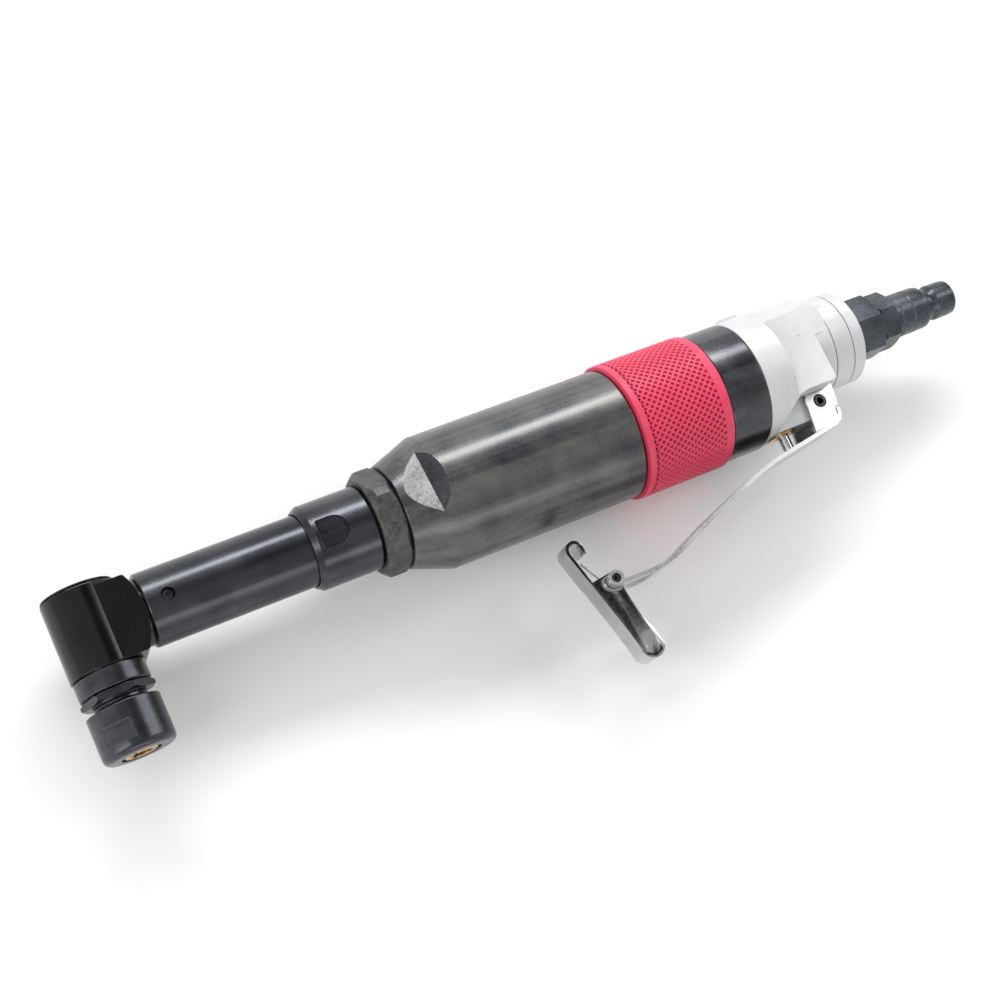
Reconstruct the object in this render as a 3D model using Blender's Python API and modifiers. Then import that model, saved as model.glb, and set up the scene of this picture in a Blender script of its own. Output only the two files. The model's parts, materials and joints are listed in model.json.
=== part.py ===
"""Right-angle die grinder with a long neck, a lever throttle and a sprung lock-off lever.

Lengths are in millimetres and are turned into metres by MM. The tool frame has its origin where the
main axis crosses the spindle axis: +X runs along the main axis towards the air plug, -Y is the side of
the collet and the throttle lever, and +Z is the side that faces up when the tool lies on its side.
"""

from math import atan2, cos, pi, radians, sin

import bmesh
import bpy
from mathutils import Matrix, Vector

MM = 0.001
GAP = 0.3  # clearance between pieces that touch or slide
FINE = 36  # sides of the big outer turned pieces
COARSE = 20  # sides of the small and the hidden turned pieces

# Head, measured from the main axis along the spindle axis (positive towards the collet)
HEAD_R = 11.0
HEAD_TOP = -11.4
HEAD_BOTTOM = 12.6
HEAD_BACK = 15.0
HEAD_BACK_R = 22.4  # the back of the head is an arc seen from its flat sides
HEAD_CREST = 0.7
HEAD_SHOULDER_R = 10.9
HEAD_HALF_WIDTH = 10.2
CAP_TOP = -12.2
CAP_R = 10.7
CAVITY_R = 9.0
RETAINER_R = 10.5
RETAINER_BOTTOM = 18.4
SPINDLE_HEX_AF = 19.0
SPINDLE_HEX_TOP = 18.8
SPINDLE_HEX_BOTTOM = 20.9
NUT_R = 10.8
NUT_TOP = 23.2
NUT_BOTTOM = 37.4
SHANK_R = 3.05  # 6 mm shank
SPINDLE_R = 4.0

# Bevel gears, on a common pitch cone length
PINION_TEETH = 11
GEAR_TEETH = 15
CONE_INNER = 6.6
CONE_OUTER = 9.9
# Corners of one tooth: share of the tooth spacing from its middle, and height above the pitch cone
TOOTH_SHAPE = ((-0.13, 0.35), (0.13, 0.35), (0.27, -0.75), (0.73, -0.75))

BEARING_BALLS = 7

# Neck and its clamp, along the main axis
NECK_R = 11.1
NECK_BORE = 8.7
NECK_FRONT = 15.4
NECK_REAR = 79.6
NECK_SCREW_X = 21.9
SLEEVE_R = 13.1
SLEEVE_FRONT = 65.2
SLEEVE_REAR = 85.2
SPIGOT_R = 11.2
SPIGOT_REAR = 108.0
JAM_AF = 30.0
JAM_CORNER_R = 16.5
JAM_FRONT = 85.6
JAM_REAR = 93.3

# Motor housing, grip and clamp ring
BARREL_R = 21.0
CONE_FRONT = 93.7
CONE_FRONT_R = 16.3
CONE_REAR = 106.8
GRIP_FRONT = 171.2
GRIP_REAR = 203.0
GRIP_R = 22.2
SEAT_R = 19.6
BAND_FRONT = 203.4
BAND_REAR = 217.1
BAND_R = 21.3
MOTOR_BORE = 17.6
NOTCH_DEPTH = 3.95
NOTCH_TILT = radians(8.6)

# Motor inside the housing
FRONT_PLATE_X = (112.4, 122.0)
CYLINDER_X = (122.3, 186.0)
REAR_PLATE_X = (186.3, 195.6)
CYLINDER_BORE = 13.6
CYLINDER_OFFSET = 1.1
ROTOR_R = 12.0
VANES = 5
VANE_THICKNESS = 2.0
SHAFT_R = 3.2

# Valve housing, exhaust and air inlet; the inlet axis lies above the main axis
HOUSING_FRONT = 217.4
HOUSING_R = 21.3
HOUSING_SHOULDER = 243.5
HOUSING_SIDE = 16.7  # half width between the flat sides
HOUSING_SIDE_FRONT = 227.9
HOUSING_WAIST = 240.6  # behind it the sides drop to the collar
HOUSING_REAR = 249.0
HOUSING_FLAT = 20.0
INLET_RISE = 3.75
EXHAUST_RING_X = (249.3, 255.9)
COLLAR_R = 15.65
REAR_CAP_X = (256.2, 261.4)
INLET_HEX_AF = 19.0
INLET_HEX_X = (261.8, 273.4)
PLUG_HEX_AF = 17.0
PLUG_HEX_X = (273.8, 280.6)
PLUG_END = 306.2
PLUG_BORE = 3.6

# Throttle valve
VALVE_X = 225.4
VALVE_BUSH_R = 4.4
STEM_R = 1.8

# Throttle lever: pin, sheet and half width
PIVOT = (239.0, 15.45)
LEVER_HALF = 7.9
SHEET = 1.3
CHEEK_R = 5.1
PIN_R = 1.95
EYE = (148.2, 43.4)
EYE_R = 2.45
EYE_BORE = 1.45
FORK_HALF = 4.8
FORK_REAR = 161.5

# Lock-off lever
LOCK_HALF = 4.4
LOCK_SHEET = 1.1
LOCK_PIN_R = 1.15

# The whole tool's box, which places it with its middle over the origin and its lowest point at zero
BOX_X = (-HEAD_R, PLUG_END)
LOWEST_REACH = 69.9
BOX_Y = (-LOWEST_REACH, GRIP_R)

DARK_STEEL = (0.055, 0.058, 0.062)
BLACK = (0.012, 0.012, 0.013)
CHROME = (0.82, 0.82, 0.83)
BRIGHT_STEEL = (0.55, 0.56, 0.57)
CAST_WHITE = (0.80, 0.81, 0.83)
RED = (0.62, 0.03, 0.06)
BRASS = (0.62, 0.42, 0.17)
BRONZE = (0.55, 0.33, 0.15)
RUBBER = (0.02, 0.02, 0.02)
FELT = (0.45, 0.44, 0.42)
VANE_RESIN = (0.20, 0.12, 0.06)


for old in list(bpy.data.objects):
    bpy.data.objects.remove(old, do_unlink=True)

parts = bpy.data.collections.new("die_grinder")
cutters = bpy.data.collections.new("cutters")
bpy.context.scene.collection.children.link(parts)
bpy.context.scene.collection.children.link(cutters)


def material(name, colour, roughness, metallic):
    made = bpy.data.materials.get(name) or bpy.data.materials.new(name)
    made.use_nodes = True
    shader = made.node_tree.nodes["Principled BSDF"]
    shader.inputs["Base Color"].default_value = (*colour, 1.0)
    shader.inputs["Roughness"].default_value = roughness
    shader.inputs["Metallic"].default_value = metallic
    return made


OXIDE = material("black_oxide", BLACK, 0.25, 0.8)
BLUED = material("blued_steel", DARK_STEEL, 0.35, 0.9)
PHOSPHATE = material("phosphate_steel", DARK_STEEL, 0.6, 0.7)
PLATED = material("chrome_plate", CHROME, 0.12, 1.0)
GROUND = material("ground_steel", BRIGHT_STEEL, 0.3, 1.0)
CAST = material("cast_aluminium", CAST_WHITE, 0.45, 0.6)
GRIP_RED = material("red_grip", RED, 0.5, 0.0)
BRASS_METAL = material("brass", BRASS, 0.3, 1.0)
BRONZE_METAL = material("bronze", BRONZE, 0.35, 1.0)
SEAL_RUBBER = material("seal_rubber", RUBBER, 0.7, 0.0)
SILENCER_FELT = material("silencer_felt", FELT, 0.9, 0.0)
RESIN = material("vane_resin", VANE_RESIN, 0.6, 0.0)


def empty(name, place, turn, parent):
    """An empty at place (mm) in its parent's frame, which holds the pieces turned about one axis."""
    made = bpy.data.objects.new(name, None)
    made.location = Vector(place) * MM
    made.rotation_euler = turn
    made.parent = parent
    parts.objects.link(made)
    return made


ALONG_X = (0.0, pi / 2, 0.0)  # local Z lies along +X, local X along -Z
ALONG_SPINDLE = (pi / 2, 0.0, 0.0)  # local Z lies along -Y, local Y along +Z
ROOT_PLACE = (-sum(BOX_X) / 2, -sum(BOX_Y) / 2, GRIP_R)
tool = empty("tool_frame", ROOT_PLACE, (0.0, 0.0, 0.0), None)
main_axis = empty("main_axis", (0.0, 0.0, 0.0), ALONG_X, tool)
spindle_axis = empty("spindle_axis", (0.0, 0.0, 0.0), ALONG_SPINDLE, tool)
inlet_axis = empty("inlet_axis", (0.0, INLET_RISE, 0.0), ALONG_X, tool)
cylinder_axis = empty("cylinder_axis", (0.0, CYLINDER_OFFSET, 0.0), ALONG_X, tool)
valve_axis = empty("valve_axis", (VALVE_X, 0.0, 0.0), ALONG_SPINDLE, tool)
lever_pivot = empty("lever_pivot", (PIVOT[0], -PIVOT[1], 0.0), (0.0, 0.0, 0.0), tool)
lock_pivot = empty("lock_pivot", (EYE[0], -EYE[1], 0.0), (0.0, 0.0, 0.0), tool)


def add_object(name, data, parent, surface, collection=parts):
    made = bpy.data.objects.new(name, data)
    made.parent = parent
    if surface is not None:
        data.materials.append(surface)
    collection.objects.link(made)
    return made


def smooth(mesh):
    mesh.shade_smooth()
    mesh.set_sharp_from_angle(angle=radians(35))


def signed_area(points):
    pairs = zip(points, points[1:] + points[:1])
    return sum(a[0] * b[1] - b[0] * a[1] for a, b in pairs) / 2


def turned(name, profile, axis, surface, sides=COARSE, collection=parts):
    """A solid turned about the axis empty from a closed profile of (distance along the axis, radius)."""
    flat = [(radius, along) for along, radius in profile]
    if signed_area(flat) > 0:
        flat.reverse()
    touches = [i for i, (radius, _) in enumerate(flat) if radius == 0.0]
    if touches:
        start = next(i for i in touches if flat[i - 1][0] == 0.0)
        flat = flat[start:] + flat[:start]
    mesh = bpy.data.meshes.new(name)
    count = len(flat)
    edges = [(i, i + 1) for i in range(count - 1)]
    if not touches:
        edges.append((count - 1, 0))
    mesh.from_pydata([(radius * MM, 0.0, along * MM) for radius, along in flat], edges, [])
    made = add_object(name, mesh, axis, surface, collection)
    screw = made.modifiers.new("turn", "SCREW")
    screw.steps = sides
    screw.render_steps = sides
    screw.use_merge_vertices = True
    screw.merge_threshold = 0.00001
    screw.use_smooth_shade = True
    return made


def arc(centre, radius, start, end, steps):
    """Points of an arc from start to end degrees, both included."""
    span = [start + (end - start) * i / steps for i in range(steps + 1)]
    return [(centre[0] + radius * cos(radians(a)), centre[1] + radius * sin(radians(a))) for a in span]


def plate(name, loops, low, high, parent, surface, collection=parts):
    """A flat outline with its holes, in the parent's XY plane (mm), from height low to high, as a mesh."""
    curve = bpy.data.curves.new(name, "CURVE")
    curve.dimensions = "2D"
    curve.fill_mode = "BOTH"
    curve.extrude = (high - low) / 2 * MM
    for loop in loops:
        spline = curve.splines.new("POLY")
        spline.points.add(len(loop) - 1)
        for point, (x, y) in zip(spline.points, loop):
            point.co = (x * MM, y * MM, 0.0, 1.0)
        spline.use_cyclic_u = True
    guide = add_object(name + "_outline", curve, parent, None, cutters)
    guide.location.z = (low + high) / 2 * MM
    return as_mesh(name, guide, surface, collection)


def as_mesh(name, guide, surface, collection):
    """The curve object as a mesh object with welded caps; the curve is removed."""
    bpy.context.view_layer.update()
    evaluated = guide.evaluated_get(bpy.context.evaluated_depsgraph_get())
    mesh = bpy.data.meshes.new_from_object(evaluated)
    mesh.name = name
    mesh.materials.clear()
    shape = bmesh.new()
    shape.from_mesh(mesh)
    bmesh.ops.remove_doubles(shape, verts=shape.verts, dist=0.000001)
    bmesh.ops.recalc_face_normals(shape, faces=shape.faces)
    shape.to_mesh(mesh)
    shape.free()
    made = add_object(name, mesh, guide.parent, surface, collection)
    made.location = guide.location
    made.rotation_euler = guide.rotation_euler
    data = guide.data
    bpy.data.objects.remove(guide)
    bpy.data.curves.remove(data)
    return made


def box(name, low, high, parent, surface=None, collection=cutters):
    """A box between two corners (mm) in the parent's frame."""
    shape = bmesh.new()
    size = Vector(high) - Vector(low)
    middle = (Vector(high) + Vector(low)) / 2
    bmesh.ops.create_cube(shape, size=1.0, matrix=Matrix.Diagonal((*(size * MM), 1.0)))
    mesh = bpy.data.meshes.new(name)
    shape.to_mesh(mesh)
    shape.free()
    made = add_object(name, mesh, parent, surface, collection)
    made.location = middle * MM
    return made


def rod(name, radius, low, high, parent, place=(0.0, 0.0), sides=COARSE, turn=0.0):
    """A cylinder or, with six sides, a hexagon along the parent's Z between two heights, as a cutter."""
    shape = bmesh.new()
    bmesh.ops.create_cone(
        shape, cap_ends=True, segments=sides, radius1=radius * MM, radius2=radius * MM, depth=(high - low) * MM
    )
    mesh = bpy.data.meshes.new(name)
    shape.to_mesh(mesh)
    shape.free()
    made = add_object(name, mesh, parent, None, cutters)
    made.location = Vector((place[0], place[1], (low + high) / 2)) * MM
    made.rotation_euler = (0.0, 0.0, turn)
    return made


def combine(target, tool_piece, operation):
    """Cuts the tool piece from the target, joins it to it, or keeps what they share."""
    tool_piece.hide_render = True
    tool_piece.display_type = "WIRE"
    if tool_piece.name in parts.objects:
        parts.objects.unlink(tool_piece)
        cutters.objects.link(tool_piece)
    step = target.modifiers.new(operation.lower(), "BOOLEAN")
    step.operation = operation
    step.solver = "EXACT"
    step.object = tool_piece


def cut(target, tool_piece):
    combine(target, tool_piece, "DIFFERENCE")


def join(target, tool_piece):
    combine(target, tool_piece, "UNION")


def common(target, tool_piece):
    combine(target, tool_piece, "INTERSECT")


def corner_radius(across_flats):
    return across_flats / 2 / cos(pi / 6)


def ring_profile(low, high, inner, outer, chamfer=0.0):
    if chamfer == 0.0:
        return [(low, inner), (low, outer), (high, outer), (high, inner)]
    return [
        (low, inner),
        (low, outer - chamfer),
        (low + chamfer, outer),
        (high - chamfer, outer),
        (high, outer - chamfer),
        (high, inner),
    ]


def ball_bearing(prefix, axis, low, high, bore, outer):
    """Outer race, inner race and a caged set of balls between the races, about the axis empty."""
    race_sides = 16
    middle = (low + high) / 2
    pitch = (bore + outer) / 2
    ball = (outer - bore) * 0.28
    wall = (outer - bore) / 2 - 0.8 * ball
    groove = 0.75 * ball
    lip = (outer - wall) / cos(pi / race_sides)
    turned(
        prefix + "_outer_race",
        [(low, lip), (low, outer), (high, outer), (high, lip), (middle + groove, lip),
         (middle, (pitch + ball + 0.1) / cos(pi / race_sides)), (middle - groove, lip)],
        axis, GROUND, race_sides,
    )
    turned(
        prefix + "_inner_race",
        [(low, bore), (high, bore), (high, bore + wall), (middle + groove, bore + wall),
         (middle, pitch - ball - 0.2), (middle - groove, bore + wall), (low, bore + wall)],
        axis, GROUND, race_sides,
    )
    cage = turned(
        prefix + "_ball_set",
        ring_profile(middle - 0.35 * ball, middle + 0.35 * ball, pitch - 0.22 * ball, pitch + 0.22 * ball),
        axis, GROUND, BEARING_BALLS * 2,
    )
    shape = bmesh.new()
    for i in range(BEARING_BALLS):
        angle = 2 * pi * (i + 0.5) / BEARING_BALLS
        place = Matrix.Translation(Vector((pitch * cos(angle), pitch * sin(angle), middle)) * MM)
        bmesh.ops.create_uvsphere(shape, u_segments=6, v_segments=4, radius=ball * MM, matrix=place)
    mesh = bpy.data.meshes.new(prefix + "_balls")
    shape.to_mesh(mesh)
    shape.free()
    balls = add_object(prefix + "_balls", mesh, axis, None, cutters)
    join(cage, balls)


def bevel_gear_piece(name, teeth, cone_angle, phase, hub_end, hub_r, bore, axis):
    """A bevel gear between two lengths of its pitch cone, whose apex is at the origin of the axis empty.

    A tooth is centred on the angle phase. Its sides are straight and leave room for the teeth that mesh with it.
    """
    shape = bmesh.new()
    rings = []
    for length in (CONE_INNER, CONE_OUTER):
        pitch_r = length * sin(cone_angle)
        size = length / CONE_OUTER
        ring = []
        for tooth in range(teeth):
            for share, rise in TOOTH_SHAPE:
                angle = phase + 2 * pi * (tooth + share) / teeth
                radius = pitch_r + rise * size / cos(cone_angle)
                point = Vector((radius * cos(angle), radius * sin(angle), length * cos(cone_angle)))
                ring.append(shape.verts.new(point * MM))
        rings.append(ring)
    count = len(rings[0])
    for i in range(count):
        j = (i + 1) % count
        shape.faces.new((rings[0][i], rings[0][j], rings[1][j], rings[1][i]))
    shape.faces.new(list(reversed(rings[0])))
    shape.faces.new(rings[1])
    bmesh.ops.recalc_face_normals(shape, faces=shape.faces)
    mesh = bpy.data.meshes.new(name)
    shape.to_mesh(mesh)
    shape.free()
    gear = add_object(name, mesh, axis, GROUND)
    front, back = CONE_INNER * cos(cone_angle), CONE_OUTER * cos(cone_angle)
    join(gear, rod(name + "_hub", hub_r, back - 0.4, hub_end, axis))
    cut(gear, rod(name + "_bore", bore, front - 2.0, hub_end + 1.0, axis))
    return gear


def head():
    """Angle head: housing, cap, spindle, its bearings and the retainer."""
    housing = turned(
        "head_housing",
        [(HEAD_TOP, 0.0), (HEAD_TOP, HEAD_R - 0.4), (HEAD_TOP + 0.4, HEAD_R), (HEAD_BOTTOM - 0.3, HEAD_R),
         (HEAD_BOTTOM, HEAD_R - 0.3), (HEAD_BOTTOM, 0.0)],
        spindle_axis, OXIDE, FINE,
    )
    centre = (HEAD_BACK - HEAD_BACK_R, -HEAD_CREST)
    back = arc(centre, HEAD_BACK_R, -31.5, 28.0, 8)
    outline = [(0.0, -HEAD_BOTTOM), (back[0][0] - 0.8, -HEAD_BOTTOM)] + back + [(0.0, back[-1][1])]
    join(housing, plate("head_block", [outline], -HEAD_HALF_WIDTH, HEAD_HALF_WIDTH, tool, None, cutters))
    join(housing, rod("head_shoulder", HEAD_SHOULDER_R, 6.0, NECK_FRONT - GAP, main_axis, sides=FINE))
    join(housing, rod("head_spigot", NECK_BORE - GAP, 4.0, 33.0, main_axis, sides=32))
    cut(housing, rod("head_cavity", CAVITY_R, -8.9, HEAD_BOTTOM + 1.0, spindle_axis, sides=32))
    cut(housing, rod("head_cap_bore", 6.5, HEAD_TOP - 1.0, -8.0, spindle_axis, sides=32))
    cut(housing, rod("pinion_bore", 7.1, 2.0, 34.0, main_axis))
    cut(housing, rod("grease_bore", 1.6, 0.0, 20.0, tool, place=(NECK_SCREW_X, 0.0), sides=12))
    cap = turned(
        "head_cap",
        [(CAP_TOP, 0.0), (CAP_TOP, CAP_R - 0.3), (CAP_TOP + 0.3, CAP_R), (HEAD_TOP - GAP, CAP_R),
         (HEAD_TOP - GAP, 6.1), (-9.2, 6.1), (-9.2, 0.0)],
        spindle_axis, OXIDE, FINE,
    )
    for side in (-1, 1):
        cut(cap, rod(f"cap_pin_hole_{side}", 0.9, CAP_TOP - 1.0, CAP_TOP + 1.6, spindle_axis, (0.0, 4.2 * side), 8))
    turned(
        "upper_bush",
        ring_profile(-8.6, -6.3, SPINDLE_R - 0.7, CAVITY_R - GAP, 0.3),
        spindle_axis, BRONZE_METAL,
    )
    turned(
        "bearing_retainer",
        [(HEAD_BOTTOM + GAP, 7.6), (HEAD_BOTTOM + GAP, RETAINER_R), (RETAINER_BOTTOM - 0.4, RETAINER_R),
         (RETAINER_BOTTOM, RETAINER_R - 0.4), (RETAINER_BOTTOM, 5.4), (17.0, 5.4), (17.0, 7.6)],
        spindle_axis, OXIDE, FINE,
    )
    ball_bearing("spindle_bearing", spindle_axis, 11.2, 16.6, SPINDLE_R + GAP, 7.3)
    turned(
        "bearing_sleeve",
        ring_profile(9.6, 12.4, 7.6, CAVITY_R - GAP),
        spindle_axis, GROUND,
    )


def spindle_and_collet():
    """Spindle with its spanner hexagon and threaded nose, the split collet and the clamping nut."""
    nose_r = 7.9
    spindle = turned(
        "spindle",
        [(-8.4, 0.0), (-8.4, SPINDLE_R - 1.2), (-8.2, SPINDLE_R - 1.0), (-4.2, SPINDLE_R - 1.0),
         (-4.2, SPINDLE_R),
         (17.2, SPINDLE_R), (17.2, 5.0), (SPINDLE_HEX_BOTTOM - 0.2, 5.0), (SPINDLE_HEX_BOTTOM - 0.2, nose_r),
         (34.0, nose_r), (34.0, 5.9), (25.0, 4.4), (25.0, SHANK_R + 0.3), (22.0, SHANK_R + 0.3), (20.0, 0.0)],
        spindle_axis, OXIDE, COARSE,
    )
    flange = turned(
        "spindle_hex",
        [(SPINDLE_HEX_TOP, 4.6), (SPINDLE_HEX_TOP, 10.2), (SPINDLE_HEX_TOP + 0.5, 10.9),
         (SPINDLE_HEX_BOTTOM - 0.6, 10.9), (SPINDLE_HEX_BOTTOM, 10.0), (SPINDLE_HEX_BOTTOM, 4.6)],
        spindle_axis, OXIDE, COARSE, cutters,
    )
    hexagon = rod(
        "spindle_hex_flats", corner_radius(SPINDLE_HEX_AF), 15.0, 25.0, spindle_axis, sides=6, turn=radians(37)
    )
    common(flange, hexagon)
    join(spindle, flange)
    collet = turned(
        "collet",
        [(25.4, 4.1), (34.3, 5.55), (36.2, 5.55), (37.3, 4.7), (37.3, SHANK_R), (25.4, SHANK_R)],
        spindle_axis, BRONZE_METAL,
    )
    for i in range(3):
        angle = 2 * pi * i / 3
        slit = box(f"collet_slit_{i}", (0.0, -0.35, -6.0), (8.0, 0.35, 6.0), spindle_axis)
        slit.location = (4.0 * MM * cos(angle), 4.0 * MM * sin(angle), 33.6 * MM)
        slit.rotation_euler = (0.0, 0.0, angle)
        cut(collet, slit)
    nut = turned(
        "collet_nut",
        [(NUT_TOP, nose_r + GAP), (NUT_TOP, NUT_R - 0.3), (NUT_TOP + 0.3, NUT_R)]
        + [(a, r) for a, r in arc((NUT_BOTTOM - 2.2, NUT_R - 2.2), 2.2, 90, 0, 3)]
        + [(NUT_BOTTOM, 5.9), (34.4, 5.9), (34.4, nose_r + GAP)],
        spindle_axis, OXIDE, FINE,
    )
    for side in (0, 1):
        angle = radians(120.7) + side * pi
        flat = box(f"nut_flat_{side}", (-5.05, -1.5, -2.75), (5.05, 1.5, 2.75), spindle_axis)
        flat.location = (11.0 * MM * cos(angle), 11.0 * MM * sin(angle), 30.95 * MM)
        flat.rotation_euler = (0.0, 0.0, angle - pi / 2)
        cut(nut, flat)


def gears():
    """Bevel pinion on the drive shaft and bevel gear on the spindle, with the pinion's bearing."""
    pinion_angle = atan2(PINION_TEETH, GEAR_TEETH)
    bevel_gear_piece("pinion_gear", PINION_TEETH, pinion_angle, -pi / 2, 12.6, 4.3, 2.3, main_axis)
    gear_angle = pi / 2 - pinion_angle
    half_tooth = pi / GEAR_TEETH
    bevel_gear_piece("bevel_gear", GEAR_TEETH, gear_angle, half_tooth, 9.2, 6.0, SPINDLE_R + GAP, spindle_axis)
    ball_bearing("pinion_bearing", main_axis, 14.5, 19.5, SHAFT_R + GAP, 6.8)


def neck():
    """Neck tube, its locking screw, the clamping sleeve and the jam nut."""
    tube = turned(
        "neck_tube",
        [(NECK_FRONT, NECK_BORE), (NECK_FRONT, NECK_R - 0.5), (NECK_FRONT + 0.5, NECK_R), (NECK_REAR, NECK_R),
         (NECK_REAR, NECK_BORE)],
        main_axis, OXIDE, FINE,
    )
    cut(tube, rod("neck_screw_hole", 2.1, 0.0, 15.0, tool, place=(NECK_SCREW_X, 0.0), sides=20))
    screw = turned(
        "neck_set_screw",
        [(7.3, 0.0), (7.3, 1.2), (8.8, 1.2), (8.8, 1.75), (10.0, 1.75), (10.0, 0.0)],
        tool, OXIDE, 20,
    )
    screw.location.x = NECK_SCREW_X * MM
    cut(screw, rod("neck_screw_socket", 0.9, 9.1, 11.0, tool, (NECK_SCREW_X, 0.0), 6))
    sleeve = turned(
        "neck_sleeve",
        [(SLEEVE_FRONT, NECK_R + GAP), (SLEEVE_FRONT, SLEEVE_R - 1.1), (SLEEVE_FRONT + 1.5, SLEEVE_R),
         (SLEEVE_REAR, SLEEVE_R), (SLEEVE_REAR, SPIGOT_R), (SPIGOT_REAR, SPIGOT_R), (SPIGOT_REAR, NECK_BORE),
         (NECK_REAR + GAP, NECK_BORE), (NECK_REAR + GAP, NECK_R + GAP)],
        main_axis, OXIDE, FINE,
    )
    for side in (-1, 1):
        outline = [(68.2, -4.6)] + arc((72.9, 0.0), 4.6, -90, 90, 8) + [(68.2, 4.6)]
        low, high = sorted((side * 12.2, side * 16.0))
        flat = plate(f"sleeve_flat_{side}", [outline], low, high, tool, None, cutters)
        cut(sleeve, flat)
    nut = turned(
        "jam_nut",
        [(JAM_FRONT + 0.8, SPIGOT_R + GAP), (JAM_FRONT, 13.9), (JAM_FRONT, 14.8),
         (JAM_FRONT + 1.8, JAM_CORNER_R),
         (JAM_REAR - 1.4, JAM_CORNER_R), (JAM_REAR, 15.2), (JAM_REAR, SPIGOT_R + GAP)],
        main_axis, PHOSPHATE, FINE,
    )
    flats = rod("jam_nut_flats", corner_radius(JAM_AF), 80.0, 100.0, main_axis, sides=6, turn=radians(11.5))
    common(nut, flats)
    turned(
        "drive_shaft",
        [(7.0, 0.0), (7.0, 2.0), (14.2, 2.0), (14.2, SHAFT_R), (101.0, SHAFT_R), (101.0, 2.4),
         (109.0, 2.4), (109.0, 0.0)],
        main_axis, GROUND,
    )
    turned(
        "shaft_support_bush",
        ring_profile(94.0, 100.0, SHAFT_R + GAP, NECK_BORE - GAP, 0.3),
        main_axis, BRONZE_METAL,
    )


def motor():
    """Vane motor: end plates, cylinder, rotor, vanes, bearings and the coupling to the drive shaft."""
    ends = turned(
        "front_end_plate",
        ring_profile(*FRONT_PLATE_X, 8.0, MOTOR_BORE - GAP, 0.3)[:-1]
        + [(FRONT_PLATE_X[1], 5.0), (FRONT_PLATE_X[1] - 2.2, 5.0), (FRONT_PLATE_X[1] - 2.2, 8.0)],
        main_axis, BLUED, 24,
    )
    ball_bearing("front_motor_bearing", main_axis, 113.8, 119.4, SHAFT_R + GAP, 8.0 - GAP)
    rear = turned(
        "rear_end_plate",
        [(REAR_PLATE_X[0], 5.0), (REAR_PLATE_X[0], MOTOR_BORE - GAP), (REAR_PLATE_X[1], MOTOR_BORE - GAP),
         (REAR_PLATE_X[1], 8.0), (REAR_PLATE_X[0] + 2.2, 8.0), (REAR_PLATE_X[0] + 2.2, 5.0)],
        main_axis, BLUED, 24,
    )
    ball_bearing("rear_motor_bearing", main_axis, 188.8, 194.4, SHAFT_R + GAP, 8.0 - GAP)
    cylinder = turned(
        "motor_cylinder",
        ring_profile(*CYLINDER_X, 0.0, MOTOR_BORE - GAP),
        main_axis, GROUND, 28,
    )
    cut(cylinder, rod("cylinder_bore", CYLINDER_BORE, CYLINDER_X[0] - 1, CYLINDER_X[1] + 1, cylinder_axis, sides=28))
    for i, x in enumerate((140.0, 154.0, 168.0)):
        port = rod(f"exhaust_port_{i}", 2.2, 8.0, 20.0, tool, (x, 0.0), 12)
        cut(cylinder, port)
    for plate_piece in (ends, rear, cylinder):
        cut(plate_piece, rod(plate_piece.name + "_pin_hole", 1.3, 100.0, 200.0, main_axis, (0.0, -15.5), 12))
    turned(
        "locating_pin",
        [(114.0, 0.0), (114.0, 1.0), (194.0, 1.0), (194.0, 0.0)],
        empty("pin_axis", (0.0, -15.5, 0.0), ALONG_X, tool), GROUND, 12,
    )
    rotor = turned(
        "rotor",
        [(111.6, 0.0), (111.6, SHAFT_R), (CYLINDER_X[0] + GAP, SHAFT_R), (CYLINDER_X[0] + GAP, ROTOR_R),
         (CYLINDER_X[1] - GAP, ROTOR_R), (CYLINDER_X[1] - GAP, SHAFT_R), (196.4, SHAFT_R), (196.4, 0.0)],
        main_axis, GROUND, 30,
    )
    floor = 5.6
    for i in range(VANES):
        angle = 2 * pi * i / VANES
        slot = box(
            f"vane_slot_{i}",
            (-4.2, -VANE_THICKNESS / 2 - GAP, CYLINDER_X[0] - 1.0),
            (4.2, VANE_THICKNESS / 2 + GAP, CYLINDER_X[1] + 1.0),
            main_axis,
        )
        reach = floor + 4.2
        slot.location = (reach * MM * cos(angle), reach * MM * sin(angle), slot.location.z)
        slot.rotation_euler = (0.0, 0.0, angle)
        cut(rotor, slot)
        top = ROTOR_R + 0.15
        vane = box(
            f"vane_{i + 1}",
            ((floor - top) / 2 + 0.2, -VANE_THICKNESS / 2, CYLINDER_X[0] + 0.5),
            ((top - floor) / 2, VANE_THICKNESS / 2, CYLINDER_X[1] - 0.5),
            main_axis, RESIN, parts,
        )
        middle = (floor + top) / 2 + 0.1
        vane.location = (middle * MM * cos(angle), middle * MM * sin(angle), vane.location.z)
        vane.rotation_euler = (0.0, 0.0, angle)
    turned(
        "shaft_coupling",
        [(102.0, 2.7), (102.0, 5.2), (111.3, 5.2), (111.3, 0.0), (109.4, 0.0), (109.4, 2.7)],
        main_axis, GROUND,
    )


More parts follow.
